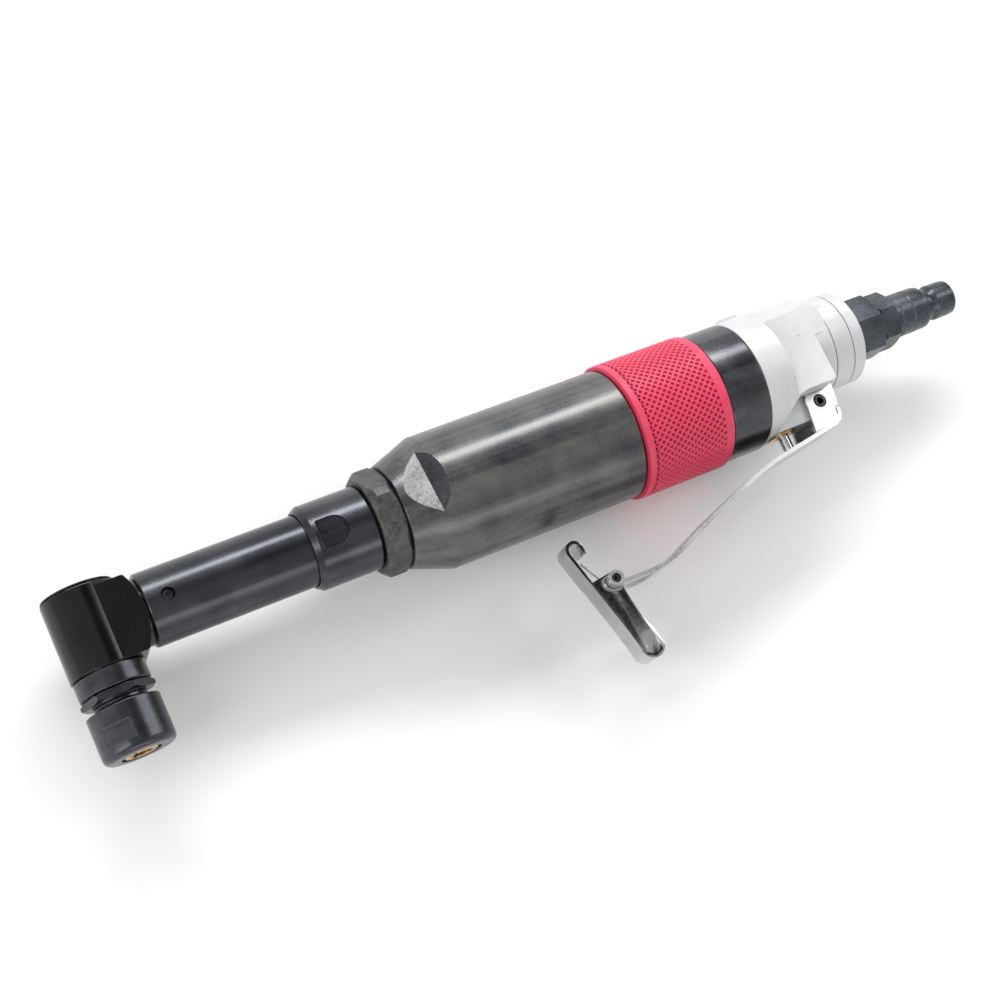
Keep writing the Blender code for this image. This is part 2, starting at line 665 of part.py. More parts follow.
def motor_case():
    """Motor housing with its spanner notches, the grip sleeve and the clamp ring behind it."""
    housing = turned(
        "motor_housing",
        [(CONE_FRONT, SPIGOT_R + GAP), (CONE_FRONT, CONE_FRONT_R - 0.5), (CONE_FRONT + 0.6, CONE_FRONT_R),
         (CONE_REAR - 0.4, BARREL_R - 0.15), (CONE_REAR + 0.4, BARREL_R), (GRIP_FRONT - 0.8, BARREL_R),
         (GRIP_FRONT - GAP, BARREL_R - 0.5), (GRIP_FRONT - GAP, SEAT_R), (GRIP_REAR, SEAT_R), (GRIP_REAR, MOTOR_BORE),
         (112.0, MOTOR_BORE), (112.0, 10.0), (108.4, 10.0), (108.4, SPIGOT_R + GAP)],
        main_axis, BLUED, FINE,
    )
    reach = BARREL_R - NOTCH_DEPTH
    for side in (-1, 1):
        notch = plate(
            f"spanner_notch_{side}",
            [[(90.0, side * reach), (103.8, side * reach), (108.5, side * (BARREL_R + 0.2)),
              (108.5, side * 27.0), (90.0, side * 27.0)]],
            -14.0, 14.0, tool, None, cutters,
        )
        notch.rotation_euler = (pi / 2 - side * NOTCH_TILT, 0.0, 0.0)
        cut(housing, notch)
    knurl_low = GRIP_FRONT + 3.4
    knurl_high = GRIP_REAR - 2.6
    turned(
        "grip_sleeve",
        [(GRIP_FRONT, SEAT_R + GAP), (GRIP_FRONT, GRIP_R - 0.8), (GRIP_FRONT + 0.6, GRIP_R - 0.2),
         (knurl_low - 0.6, GRIP_R - 0.2), (knurl_low - 0.3, GRIP_R - 0.6), (knurl_low, GRIP_R - 0.6),
         (knurl_low + 0.2, GRIP_R), (knurl_high, GRIP_R), (knurl_high + 0.3, GRIP_R - 0.15),
         (GRIP_REAR - 0.5, GRIP_R - 0.15), (GRIP_REAR, GRIP_R - 0.6), (GRIP_REAR, SEAT_R + GAP)],
        main_axis, GRIP_RED, FINE,
    )
    turned(
        "clamp_ring",
        [(BAND_FRONT, MOTOR_BORE), (BAND_FRONT, BAND_R - 0.4), (BAND_FRONT + 0.4, BAND_R),
         (BAND_REAR - 0.3, BAND_R), (BAND_REAR, BAND_R - 0.3), (BAND_REAR, MOTOR_BORE)],
        main_axis, BLUED, FINE,
    )


def valve_housing():
    """Cast rear housing with the lever's lug, the air passages, the exhaust ring and the rear cap."""
    casting = turned(
        "valve_housing",
        [(196.8, 0.0), (196.8, MOTOR_BORE - GAP), (HOUSING_FRONT, MOTOR_BORE - GAP),
         (HOUSING_FRONT, HOUSING_R),
         (HOUSING_SHOULDER, HOUSING_R), (246.4, 20.9), (248.4, 20.1), (HOUSING_REAR, 19.4), (HOUSING_REAR, 0.0)],
        main_axis, CAST, FINE,
    )
    join(casting, box("top_boss", (HOUSING_FRONT + 3.4, 12.0, -4.0), (228.0, 22.0, 4.0), tool))
    for side in (-1, 1):
        low, high = sorted((side * HOUSING_SIDE, side * 30.0))
        cut(casting, box(f"side_flat_{side}", (HOUSING_SIDE_FRONT, -30.0, low), (262.0, 30.0, high), tool))
        low, high = sorted((side * COLLAR_R, side * 31.0))
        cut(casting, box(f"side_waist_{side}", (HOUSING_WAIST, -30.0, low), (263.0, 31.0, high), tool))
    cut(casting, box("waist_below", (HOUSING_SHOULDER, -31.0, -31.0), (263.0, INLET_RISE, 31.0), tool))
    collar = turned(
        "collar",
        [(236.0, 0.0), (236.0, COLLAR_R), (HOUSING_REAR, COLLAR_R), (HOUSING_REAR, 10.6), (258.6, 10.6),
         (258.6, 0.0)],
        inlet_axis, None, FINE, cutters,
    )
    join(casting, collar)
    cut(casting, box("lever_flat", (HOUSING_FRONT - 0.2, -30.0, -30.0), (262.0, -HOUSING_FLAT, 30.0), tool))
    pocket = [(219.6, -21.4), (224.4, -16.3), (228.7, -12.9), (232.0, -12.2), (262.0, -12.2),
              (262.0, -30.0), (219.6, -30.0)]
    cheek_room = [(230.6, -16.4)] + arc((PIVOT[0], -PIVOT[1]), CHEEK_R + 1.6, 172, 35, 8)
    cheek_room += [(246.5, -30.0), (230.6, -30.0)]
    lug_half = LEVER_HALF - SHEET - GAP
    for side in (-1, 1):
        low = lug_half if side > 0 else -30.0
        cut(casting, plate(f"lever_pocket_{side}", [pocket], low, low + 30.0 - lug_half, tool, None, cutters))
        low, high = sorted((side * lug_half, side * (LEVER_HALF + 0.6)))
        cut(casting, plate(f"cheek_pocket_{side}", [cheek_room], low, high, tool, None, cutters))
    cut(casting, box("lug_rear", (PIVOT[0] + 3.3, -32.0, -20.0), (264.0, INLET_RISE - COLLAR_R, 20.0), tool))
    cut(casting, rod("lever_pin_hole", PIN_R + GAP, -20.0, 20.0, lever_pivot, sides=16))
    cut(casting, rod("valve_chamber", 4.9, 3.0, 24.0, valve_axis, sides=COARSE))
    cut(casting, rod("inlet_bore", 8.0, 246.0, 262.0, inlet_axis, sides=COARSE))
    cut(casting, rod("inlet_passage", 4.0, 222.0, 250.0, inlet_axis, sides=16))
    cut(casting, rod("air_passage", 3.4, 190.0, 226.0, main_axis, sides=16))
    for angle in (35, 145):
        place = (12.3 * sin(radians(angle)), 12.3 * cos(radians(angle)))
        cut(casting, rod(f"exhaust_passage_{angle}", 1.9, 190.0, 262.0, main_axis, place, 12))
    ring = turned(
        "exhaust_ring",
        [(EXHAUST_RING_X[0], 13.4), (EXHAUST_RING_X[0], COLLAR_R), (EXHAUST_RING_X[1], COLLAR_R),
         (EXHAUST_RING_X[1], 13.4)],
        inlet_axis, CAST, FINE,
    )
    for i in range(4):
        angle = radians(-60 + 40 * i)
        vent = rod(f"exhaust_vent_{i}", 1.1, 11.0, 18.0, inlet_axis, sides=10)
        vent.location = (0.0, 0.0, sum(EXHAUST_RING_X) / 2 * MM)
        vent.location.x = 15.0 * MM * cos(angle)
        vent.location.y = 15.0 * MM * sin(angle)
        vent.rotation_euler = (0.0, pi / 2, angle)
        cut(ring, vent)
    turned(
        "silencer_felt",
        ring_profile(EXHAUST_RING_X[0] + 0.3, EXHAUST_RING_X[1], 10.6 + GAP, 13.4 - GAP),
        inlet_axis, SILENCER_FELT,
    )
    turned(
        "rear_cap",
        [(REAR_CAP_X[0], 10.6 + GAP), (REAR_CAP_X[0], COLLAR_R), (REAR_CAP_X[1] - 1.6, COLLAR_R),
         (REAR_CAP_X[1] - 0.5, COLLAR_R - 0.5), (REAR_CAP_X[1], COLLAR_R - 1.4), (REAR_CAP_X[1], 9.2),
         (REAR_CAP_X[1] - 2.2, 9.2), (REAR_CAP_X[1] - 2.2, 10.6 + GAP)],
        inlet_axis, CAST, FINE,
    )


def air_inlet():
    """Hexagon inlet bushing with its strainer, and the quick plug screwed into it."""
    bushing = turned(
        "inlet_bushing",
        [(250.0, 5.2), (250.0, 7.7), (INLET_HEX_X[0], 7.7), (INLET_HEX_X[0], 10.6),
         (INLET_HEX_X[0] + 0.4, 10.9),
         (INLET_HEX_X[1] - 0.6, 10.9), (INLET_HEX_X[1], 10.0), (INLET_HEX_X[1], 5.2)],
        inlet_axis, OXIDE, FINE,
    )
    low, high = INLET_HEX_X[0], INLET_HEX_X[1] + 4.0
    flats = rod("inlet_hex_flats", corner_radius(INLET_HEX_AF), low - 15.0, high, inlet_axis, sides=6, turn=pi / 6)
    common(bushing, flats)
    strainer = turned(
        "inlet_strainer",
        [(251.0, 0.0), (251.0, 4.6), (258.0, 4.6), (258.0, 4.0), (252.0, 4.0), (252.0, 0.0)],
        inlet_axis, BRASS_METAL,
    )
    for i in range(5):
        angle = 2 * pi * i / 5
        hole = rod(f"strainer_hole_{i}", 0.8, 249.0, 253.5, inlet_axis, (2.4 * cos(angle), 2.4 * sin(angle)), 6)
        cut(strainer, hole)
    plug = turned(
        "air_plug",
        [(262.5, PLUG_BORE), (262.5, 4.9), (PLUG_HEX_X[0], 4.9), (PLUG_HEX_X[0], 8.6),
         (PLUG_HEX_X[0] + 0.8, 9.7),
         (PLUG_HEX_X[1] - 0.8, 9.7), (PLUG_HEX_X[1], 8.6), (PLUG_HEX_X[1], 7.3), (292.6, 7.2), (294.2, 7.1),
         (295.4, 5.4), (297.4, 5.0), (298.8, 6.0), (303.6, 6.0), (PLUG_END - 0.4, 5.8), (PLUG_END, 5.4),
         (PLUG_END, PLUG_BORE)],
        inlet_axis, OXIDE, 24,
    )
    hexagon = rod("plug_hex_flats", corner_radius(PLUG_HEX_AF), 255.0, 310.0, inlet_axis, sides=6, turn=radians(22))
    common(plug, hexagon)


def throttle_valve():
    """Brass guide bushing, push stem with its valve disc, and the return spring above the disc."""
    turned(
        "valve_bushing",
        [(16.4, STEM_R + GAP), (16.4, VALVE_BUSH_R), (20.6, VALVE_BUSH_R), (20.6, STEM_R + GAP)],
        valve_axis, BRASS_METAL,
    )
    turned(
        "valve_stem",
        [(12.4, 0.0), (12.4, 1.2), (13.4, 1.2), (13.4, 3.6), (15.2, 3.6), (15.2, STEM_R), (25.3, STEM_R),
         (25.7, STEM_R - 0.5), (25.7, 0.0)],
        valve_axis, GROUND,
    )
    turned(
        "valve_seal",
        ring_profile(15.5, 16.1, STEM_R + GAP, 3.4),
        valve_axis, SEAL_RUBBER,
    )
    turns, low, high, radius, wire = 4, 6.6, 13.0, 2.9, 0.45
    points = []
    for i in range(turns * 8 + 1):
        angle = 2 * pi * i / 8
        along = low + (high - low) * i / (turns * 8)
        points.append((radius * cos(angle), radius * sin(angle), along))
    wire_object("valve_spring", points, wire, valve_axis, GROUND)


def wire_object(name, points, radius, parent, surface):
    """A round wire through the points (mm) in the parent's frame, as a mesh with welded caps."""
    curve = bpy.data.curves.new(name, "CURVE")
    curve.dimensions = "3D"
    curve.bevel_depth = radius * MM
    curve.bevel_resolution = 1
    curve.use_fill_caps = True
    spline = curve.splines.new("POLY")
    spline.points.add(len(points) - 1)
    for point, place in zip(spline.points, points):
        point.co = (*(Vector(place) * MM), 1.0)
    guide = add_object(name + "_guide", curve, parent, None, cutters)
    return as_mesh(name, guide, surface, parts)


def sheet_outline(centre_line, thickness):
    """The closed outline of a bent sheet, seen on edge, from the line along its middle."""
    sides = ([], [])
    count = len(centre_line)
    for i, point in enumerate(centre_line):
        before = Vector(centre_line[max(i - 1, 0)])
        after = Vector(centre_line[min(i + 1, count - 1)])
        along = (after - before).normalized()
        across = Vector((-along.y, along.x)) * thickness / 2
        sides[0].append(tuple(Vector(point) + across))
        sides[1].append(tuple(Vector(point) - across))
    return sides[0] + sides[1][::-1]


def throttle_lever():
    """Pressed-steel lever: blade, rolled fork eyes at the front and two cheeks on the pivot pin."""
    blade_line = [
        (EYE[0], EYE[1] + EYE_R - SHEET / 2), (158.0, 45.4), (163.0, 45.2), (167.0, 44.6), (172.5, 42.9), (180.0, 39.9),
        (188.6, 36.5), (200.7, 32.4), (209.1, 29.8), (217.4, 27.8), (229.7, 25.9), (240.4, 24.2),
        (242.6, 23.3), (243.5, 21.6), (243.9, 19.6),
    ]
    line = [(x, -e) for x, e in blade_line]
    lever = plate("throttle_lever", [sheet_outline(line, SHEET)], -LEVER_HALF, LEVER_HALF, tool, PLATED)
    ring = arc((EYE[0], -EYE[1]), EYE_R, 0, 345, 23)
    join(lever, plate("lever_eye", [ring], -LEVER_HALF, LEVER_HALF, tool, None, cutters))
    cheek = (
        [(232.6, -24.6), (233.9, -16.4)]
        + arc((PIVOT[0], -PIVOT[1]), CHEEK_R, 190, 75, 8)
        + [(245.6, -11.2), (245.2, -14.2), (244.3, -18.9), (242.9, -18.9), (242.4, -23.4)]
    )
    for side in (-1, 1):
        low = LEVER_HALF - SHEET if side > 0 else -LEVER_HALF
        join(lever, plate(f"lever_cheek_{side}", [cheek], low, low + SHEET, tool, None, cutters))
    cut(lever, rod("lever_eye_bore", EYE_BORE, -12.0, 12.0, lock_pivot, sides=20))
    cut(lever, rod("lever_cheek_bore", PIN_R + GAP, -12.0, 12.0, lever_pivot, sides=20))
    cut(lever, box("lever_fork", (EYE[0] - 5.0, -50.0, -FORK_HALF), (FORK_REAR, -38.0, FORK_HALF), tool))
    turned(
        "lever_pin",
        ring_profile(-LEVER_HALF - 0.1, LEVER_HALF + 0.1, 1.1, PIN_R),
        lever_pivot, OXIDE, 20,
    )


def lock_lever():
    """Pressed channel that stands on the pin in the fork, with a hooked nose, and its torsion spring."""
    bottom = arc((150.9, 66.0), 3.9, 168, 10, 8)
    rim = [(154.6, 66.0), (151.9, 56.6), (150.9, 49.8), (150.6, 45.4)]
    boss = arc((EYE[0], EYE[1]), 2.7, 0, -110, 6)
    side_wall = [(141.2, 41.7), (145.3, 57.7), (147.0, 65.2)] + bottom + rim + boss
    lever = plate(
        "lock_lever",
        [[(x, -e) for x, e in side_wall]],
        -LOCK_HALF, LOCK_HALF, tool, PLATED,
    )
    hook_line = [(141.6, 41.7), (138.75, 30.8)] + arc((141.2, 30.4), 2.45, 170, 360, 9) + [(143.65, 32.6)]
    hook = plate(
        "lock_hook",
        [sheet_outline([(x, -e) for x, e in hook_line], LOCK_SHEET)],
        -LOCK_HALF, LOCK_HALF, tool, None, cutters,
    )
    join(lever, hook)
    hollow = (
        [(142.3, 34.0), (142.3, 41.4), (146.4, 57.4), (148.1, 65.0)]
        + arc((150.9, 66.0), 2.8, 168, 60, 5)
        + [(165.0, 67.0), (165.0, 34.0)]
    )
    inner_half = LOCK_HALF - LOCK_SHEET
    cut(lever, plate("lock_hollow", [[(x, -e) for x, e in hollow]], -inner_half, inner_half, tool, None, cutters))
    cut(lever, rod("lock_bore", LOCK_PIN_R + GAP, -12.0, 12.0, lock_pivot, sides=20))
    turned(
        "lock_pin",
        ring_profile(-LEVER_HALF + 0.4, LEVER_HALF - 0.4, 0.6, LOCK_PIN_R),
        lock_pivot, OXIDE, 16,
    )
    coil_r, wire, turns, per_turn, half = 1.95, 0.4, 3, 8, 2.0
    start = 165
    points = [(-6.5, 8.8, half)]
    for i in range(turns * per_turn - 1):
        angle = radians(start - 360 * i / per_turn)
        points.append((coil_r * cos(angle), coil_r * sin(angle), half - 2 * half * i / (turns * per_turn - 2)))
    points.append((5.6, -0.9, -half))
    wire_object("lock_spring", points, wire, lock_pivot, GROUND)


head()
spindle_and_collet()
gears()
neck()
motor()
motor_case()
valve_housing()
air_inlet()
throttle_valve()
throttle_lever()
lock_lever()

for piece in parts.objects:
    if piece.type == "MESH":
        smooth(piece.data)
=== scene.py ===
"""Finished look of the long-neck angle die grinder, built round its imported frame.

Lengths in the building code are millimetres in the tool frame: the origin is where the main axis
crosses the spindle axis, +X runs to the air plug, -Y is the side of the collet and the squeeze lever,
and +Z is the side that faces up while the tool lies on its side.
"""

import json
from math import cos, pi, radians, sin, tan

import bmesh
import bpy
from mathutils import Matrix, Vector


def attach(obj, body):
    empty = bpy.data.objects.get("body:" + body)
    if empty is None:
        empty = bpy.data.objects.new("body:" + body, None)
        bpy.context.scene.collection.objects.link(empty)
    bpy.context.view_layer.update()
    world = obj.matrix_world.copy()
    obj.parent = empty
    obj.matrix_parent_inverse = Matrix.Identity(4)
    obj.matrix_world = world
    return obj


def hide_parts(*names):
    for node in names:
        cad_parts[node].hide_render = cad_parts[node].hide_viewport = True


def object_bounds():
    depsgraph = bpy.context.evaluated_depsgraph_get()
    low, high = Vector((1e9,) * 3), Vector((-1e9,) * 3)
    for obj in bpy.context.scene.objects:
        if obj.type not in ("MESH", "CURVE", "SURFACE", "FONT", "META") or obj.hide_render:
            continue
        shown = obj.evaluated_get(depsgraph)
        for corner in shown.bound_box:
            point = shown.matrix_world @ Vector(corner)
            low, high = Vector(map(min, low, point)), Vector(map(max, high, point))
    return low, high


bl_info = {
    "name": "Angle Die Grinder Finish",
    "version": (1, 0, 0),
    "blender": (4, 5, 0),
    "location": "View3D > Sidebar > Grinder",
    "description": "Builds the finished pieces, surfaces and studio of a long-neck angle die grinder",
    "category": "Object",
}

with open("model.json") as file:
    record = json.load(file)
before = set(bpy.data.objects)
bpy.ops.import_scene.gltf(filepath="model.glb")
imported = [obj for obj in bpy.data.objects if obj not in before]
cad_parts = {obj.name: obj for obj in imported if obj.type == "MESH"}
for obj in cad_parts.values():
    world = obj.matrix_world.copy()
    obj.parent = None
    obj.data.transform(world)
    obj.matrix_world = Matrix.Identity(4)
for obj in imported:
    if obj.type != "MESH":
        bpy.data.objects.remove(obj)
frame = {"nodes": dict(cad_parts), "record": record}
CAD_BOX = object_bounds()

MM = 0.001
HEAD_REACH = 11.0  # the head's front is this far in front of the spindle axis
GRIP_REACH = 22.2  # the grip's radius, which touches the box's far side and its top
ORIGIN = Vector(
    (CAD_BOX[0].x + HEAD_REACH * MM, CAD_BOX[1].y - GRIP_REACH * MM, CAD_BOX[1].z - GRIP_REACH * MM)
)
INLET_RISE = 3.75  # the inlet's axis is this far to +Y of the main axis
VALVE_X = 225.4
SCREW_X = 21.9  # the neck's sunk screw, and the hole under it in the head
PIVOT = (239.0, 15.45)  # the squeeze lever's hinge: along the tool, and out to the lever's side
EYE = (148.2, 43.4)  # the lock lever's hinge, given in the same way
SIDES = 144
BORE_SIDES = 48


def placed(x=0.0, y=0.0, z=0.0):
    """The tool frame moved by a number of millimetres, as a matrix in metres."""
    return Matrix.Translation(ORIGIN + Vector((x, y, z)) * MM)


TOOL = placed()
ALONG_X = Matrix.Rotation(pi / 2, 4, "Y")
ALONG_SPINDLE = Matrix.Rotation(pi / 2, 4, "X")
MAIN = placed() @ ALONG_X
SPINDLE = placed() @ ALONG_SPINDLE
INLET = placed(0.0, INLET_RISE, 0.0) @ ALONG_X
VALVE = placed(VALVE_X) @ ALONG_SPINDLE
LEVER_PIVOT = placed(PIVOT[0], -PIVOT[1])
LOCK_PIVOT = placed(EYE[0], -EYE[1])


# ---------------------------------------------------------------- shapes


def rounded(points, closed=True, steps=4):
    """The points with each corner that has a third value turned into a fillet of that radius."""
    made = []
    count = len(points)
    for i, point in enumerate(points):
        here = Vector(point[:2])
        fillet = point[2] if len(point) > 2 else 0.0
        if fillet <= 0.0 or (not closed and i in (0, count - 1)):
            made.append((here.x, here.y))
            continue
        before = Vector(points[i - 1][:2]) - here
        after = Vector(points[(i + 1) % count][:2]) - here
        half = before.angle(after) / 2
        reach = min(fillet / tan(half), before.length * 0.48, after.length * 0.48)
        start = here + before.normalized() * reach
        end = here + after.normalized() * reach
        for k in range(steps + 1):
            t = k / steps
            spot = start * (1 - t) ** 2 + here * 2 * t * (1 - t) + end * t**2
            made.append((spot.x, spot.y))
    return made


def arc(centre, radius, start, end, steps):
    """Points of an arc from start to end degrees, both included."""
    span = [start + (end - start) * i / steps for i in range(steps + 1)]
    return [(centre[0] + radius * cos(radians(a)), centre[1] + radius * sin(radians(a))) for a in span]


def add_mesh(name, shape):
    """The bmesh as an object at the origin, with outward faces."""
    bmesh.ops.recalc_face_normals(shape, faces=shape.faces)
    mesh = bpy.data.meshes.new(name)
    shape.to_mesh(mesh)
    shape.free()
    made = bpy.data.objects.new(name, mesh)
    bpy.context.scene.collection.objects.link(made)
    return made


def turned(name, profile, axis, sides=SIDES):
    """A solid turned about the axis from a closed profile of (distance along it, radius, fillet)."""
    shape = bmesh.new()
    rings = []
    for along, radius in rounded(profile):
        if radius < 0.001:
            rings.append([shape.verts.new(axis @ Vector((0.0, 0.0, along * MM)))])
            continue
        ring = []
        for i in range(sides):
            angle = 2 * pi * i / sides
            spot = Vector((radius * cos(angle), radius * sin(angle), along)) * MM
            ring.append(shape.verts.new(axis @ spot))
        rings.append(ring)
    for a, b in zip(rings, rings[1:] + rings[:1]):
        if len(a) == 1 and len(b) == 1:
            continue
        for i in range(sides):
            j = (i + 1) % sides
            corners = [a[i % len(a)], a[j % len(a)], b[j % len(b)], b[i % len(b)]]
            shape.faces.new(list(dict.fromkeys(corners)))
    return add_mesh(name, shape)


def slab(name, outline, low, high, axis=TOOL):
    """A flat outline with filleted corners in the axis frame's XY plane, from height low to high."""
    points = rounded(outline)
    shape = bmesh.new()
    ends = [[shape.verts.new(axis @ (Vector((x, y, z)) * MM)) for x, y in points] for z in (low, high)]
    shape.faces.new(ends[0])
    shape.faces.new(ends[1])
    for i in range(len(points)):
        j = (i + 1) % len(points)
        shape.faces.new((ends[0][i], ends[0][j], ends[1][j], ends[1][i]))
    return add_mesh(name, shape)


def block(name, low, high, axis=TOOL):
    """A square-edged cutter between its lowest and highest corner."""
    outline = [(low[0], low[1]), (high[0], low[1]), (high[0], high[1]), (low[0], high[1])]
    return slab(name, outline, low[2], high[2], axis)


def rod(name, radius, low, high, axis, place=(0.0, 0.0), sides=BORE_SIDES, turn=0.0):
    """A round or, with few sides, many-cornered bar along the axis, used as a cutter."""
    angles = [turn + 2 * pi * i / sides for i in range(sides)]
    points = [(place[0] + radius * cos(angle), place[1] + radius * sin(angle)) for angle in angles]
    return slab(name, points, low, high, axis)


def hexagon(across_flats, low, high, axis, turn):
    """A hexagonal bar, turned by so many degrees, that a round piece is cut down to."""
    radius = across_flats / 2 / cos(pi / 6)
    return rod("flats", radius, low, high, axis, sides=6, turn=radians(turn) + pi / 2)


def bake(obj):
    """The object with its modifiers made part of its mesh."""
    bpy.context.view_layer.update()
    evaluated = obj.evaluated_get(bpy.context.evaluated_depsgraph_get())
    mesh = bpy.data.meshes.new_from_object(evaluated)
    old = obj.data
    obj.modifiers.clear()
    obj.data = mesh
    bpy.data.meshes.remove(old)
    return obj


def combine(target, other, operation):
    step = target.modifiers.new(operation.lower(), "BOOLEAN")
    step.operation = operation
    step.solver = "EXACT"
    step.object = other
    bake(target)
    data = other.data
    bpy.data.objects.remove(other)
    bpy.data.meshes.remove(data)


def cut(target, other):
    combine(target, other, "DIFFERENCE")


def join(target, other):
    combine(target, other, "UNION")


def common(target, other):
    combine(target, other, "INTERSECT")


def ease(obj, width, angle=30, segments=2):
    """Merges doubled points, drops degenerate edges and rounds every sharp edge by a width in millimetres."""
    shape = bmesh.new()
    shape.from_mesh(obj.data)
    bmesh.ops.remove_doubles(shape, verts=shape.verts, dist=0.002 * MM)
    bmesh.ops.dissolve_degenerate(shape, edges=shape.edges, dist=0.002 * MM)
    shape.to_mesh(obj.data)
    shape.free()
    step = obj.modifiers.new("edges", "BEVEL")
    step.width = width * MM
    step.segments = segments
    step.limit_method = "ANGLE"
    step.angle_limit = radians(angle)
    step.use_clamp_overlap = True
    step.miter_outer = "MITER_ARC"
    bake(obj)
    return obj


def shade(obj, angle=32, pressed=False):
    """Smooth shading that breaks at sharp edges and keeps wide flat faces flat.

    A pressed sheet has faces too narrow to be weighed by their area, so its flats are shaded flat instead.
    """
    obj.data.shade_smooth()
    obj.data.set_sharp_from_angle(angle=radians(angle))
    if pressed:
        shape = bmesh.new()
        shape.from_mesh(obj.data)
        for face in shape.faces:
            bends = [edge.calc_face_angle(0.0) for edge in face.edges]
            if not any(radians(0.3) < bend < radians(11) for bend in bends):
                face.smooth = face.calc_area() < 0.4 * MM * MM
        shape.to_mesh(obj.data)
        shape.free()
        return
    step = obj.modifiers.new("flat faces", "WEIGHTED_NORMAL")
    step.keep_sharp = True
    step.weight = 100
    bake(obj)


def finish(obj, name, body, surface, nodes=(), angle=32, pressed=False):
    """Names the piece, gives it its surface and lets it ride on its body in place of its frame nodes."""
    obj.name = name
    obj.data.name = name
    shade(obj, angle, pressed)
    obj.data.materials.clear()
    obj.data.materials.append(surface)
    for face in obj.data.polygons:
        face.material_index = 0
    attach(obj, body)
    if nodes:
        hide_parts(*nodes)
    return obj


def wire(name, points, radius, axis, sides=10):
    """A round wire through the points, in the axis frame, as a closed mesh."""
    curve = bpy.data.curves.new(name, "CURVE")
    curve.dimensions = "3D"
    curve.bevel_depth = radius * MM
    curve.bevel_resolution = sides // 4
    curve.use_fill_caps = True
    spline = curve.splines.new("POLY")
    spline.points.add(len(points) - 1)
    for point, spot in zip(spline.points, points):
        point.co = (*(axis @ (Vector(spot) * MM)), 1.0)
    guide = bpy.data.objects.new(name + "_guide", curve)
    bpy.context.scene.collection.objects.link(guide)
    bpy.context.view_layer.update()
    evaluated = guide.evaluated_get(bpy.context.evaluated_depsgraph_get())
    mesh = bpy.data.meshes.new_from_object(evaluated)
    shape = bmesh.new()
    shape.from_mesh(mesh)
    bmesh.ops.remove_doubles(shape, verts=shape.verts, dist=0.001 * MM)
    bpy.data.objects.remove(guide)
    bpy.data.curves.remove(curve)
    bpy.data.meshes.remove(mesh)
    return add_mesh(name, shape)


def smooth_path(points, steps=6):
    """More points on a smooth line through these, by Catmull and Rom's rule."""
    made = []
    line = [Vector(p) for p in points]
    for i in range(len(line) - 1):
        p0, p1, p2, p3 = line[max(i - 1, 0)], line[i], line[i + 1], line[min(i + 2, len(line) - 1)]
        for k in range(steps):
            t = k / steps
            spot = 0.5 * (
                2 * p1
                + (p2 - p0) * t
                + (2 * p0 - 5 * p1 + 4 * p2 - p3) * t**2
                + (3 * p1 - p0 - 3 * p2 + p3) * t**3
            )
            made.append(tuple(spot))
    made.append(tuple(line[-1]))
    return made


def other_side(points):
    """The points with Y negated: the levers' outlines are given by their distance out to the lever's side."""
    return [(x, -y) for x, y in points]


def sheet_outline(centre_line, thickness):
    """The closed outline of a bent sheet, seen on edge, from the line along its middle."""
    sides = ([], [])
    count = len(centre_line)
    for i, point in enumerate(centre_line):
        before = Vector(centre_line[max(i - 1, 0)])
        after = Vector(centre_line[min(i + 1, count - 1)])
        along = (after - before).normalized()
        across = Vector((-along.y, along.x)) * thickness / 2
        sides[0].append(tuple(Vector(point) + across))
        sides[1].append(tuple(Vector(point) - across))
    return sides[0] + sides[1][::-1]


# ---------------------------------------------------------------- nodes


def feed(tree, socket, value):
    """Links the socket to another one, or sets it to a value."""
    if isinstance(value, bpy.types.NodeSocket):
        tree.links.new(value, socket)
    else:
        socket.default_value = value


def add_node(tree, kind, inputs=None, **settings):
    """A node with its settings, whose inputs are values or the sockets that feed them."""
    node = tree.nodes.new(kind)
    for key, value in settings.items():
        setattr(node, key, value)
    for key, value in (inputs or {}).items():
        feed(tree, node.inputs[key], value)
    return node


def calc(tree, operation, a, b=0.0, c=0.0):
    """The result of a sum whose terms are values or sockets."""
    return add_node(tree, "ShaderNodeMath", {0: a, 1: b, 2: c}, operation=operation).outputs[0]


def vector(tree, x=0.0, y=0.0, z=0.0):
    return add_node(tree, "ShaderNodeCombineXYZ", {0: x, 1: y, 2: z}).outputs[0]


def ramp(tree, value, start, end, low, high, **settings):
    """The value, with its stretch from start to end mapped to low and high."""
    inputs = {0: value, 1: start, 2: end, 3: low, 4: high}
    return add_node(tree, "ShaderNodeMapRange", inputs, **settings).outputs[0]


def noise(tree, place, scale, detail=2.0, roughness=0.5, distortion=0.0):
    """The value of a noise texture at the place."""
    inputs = {"Vector": place, "Scale": scale, "Detail": detail, "Roughness": roughness}
    return add_node(tree, "ShaderNodeTexNoise", {**inputs, "Distortion": distortion}).outputs["Fac"]


def object_place(tree):
    return add_node(tree, "ShaderNodeTexCoord").outputs["Object"]


def mix_colour(tree, factor, a, b):
    """The colour between a and b, which are red, green and blue values or sockets."""
    node = add_node(tree, "ShaderNodeMix", {0: factor}, data_type="RGBA")
    ends = [socket for socket in node.inputs if socket.type == "RGBA"]
    for socket, value in zip(ends, (a, b)):
        feed(tree, socket, value if isinstance(value, bpy.types.NodeSocket) else (*value, 1.0))
    return next(socket for socket in node.outputs if socket.type == "RGBA")


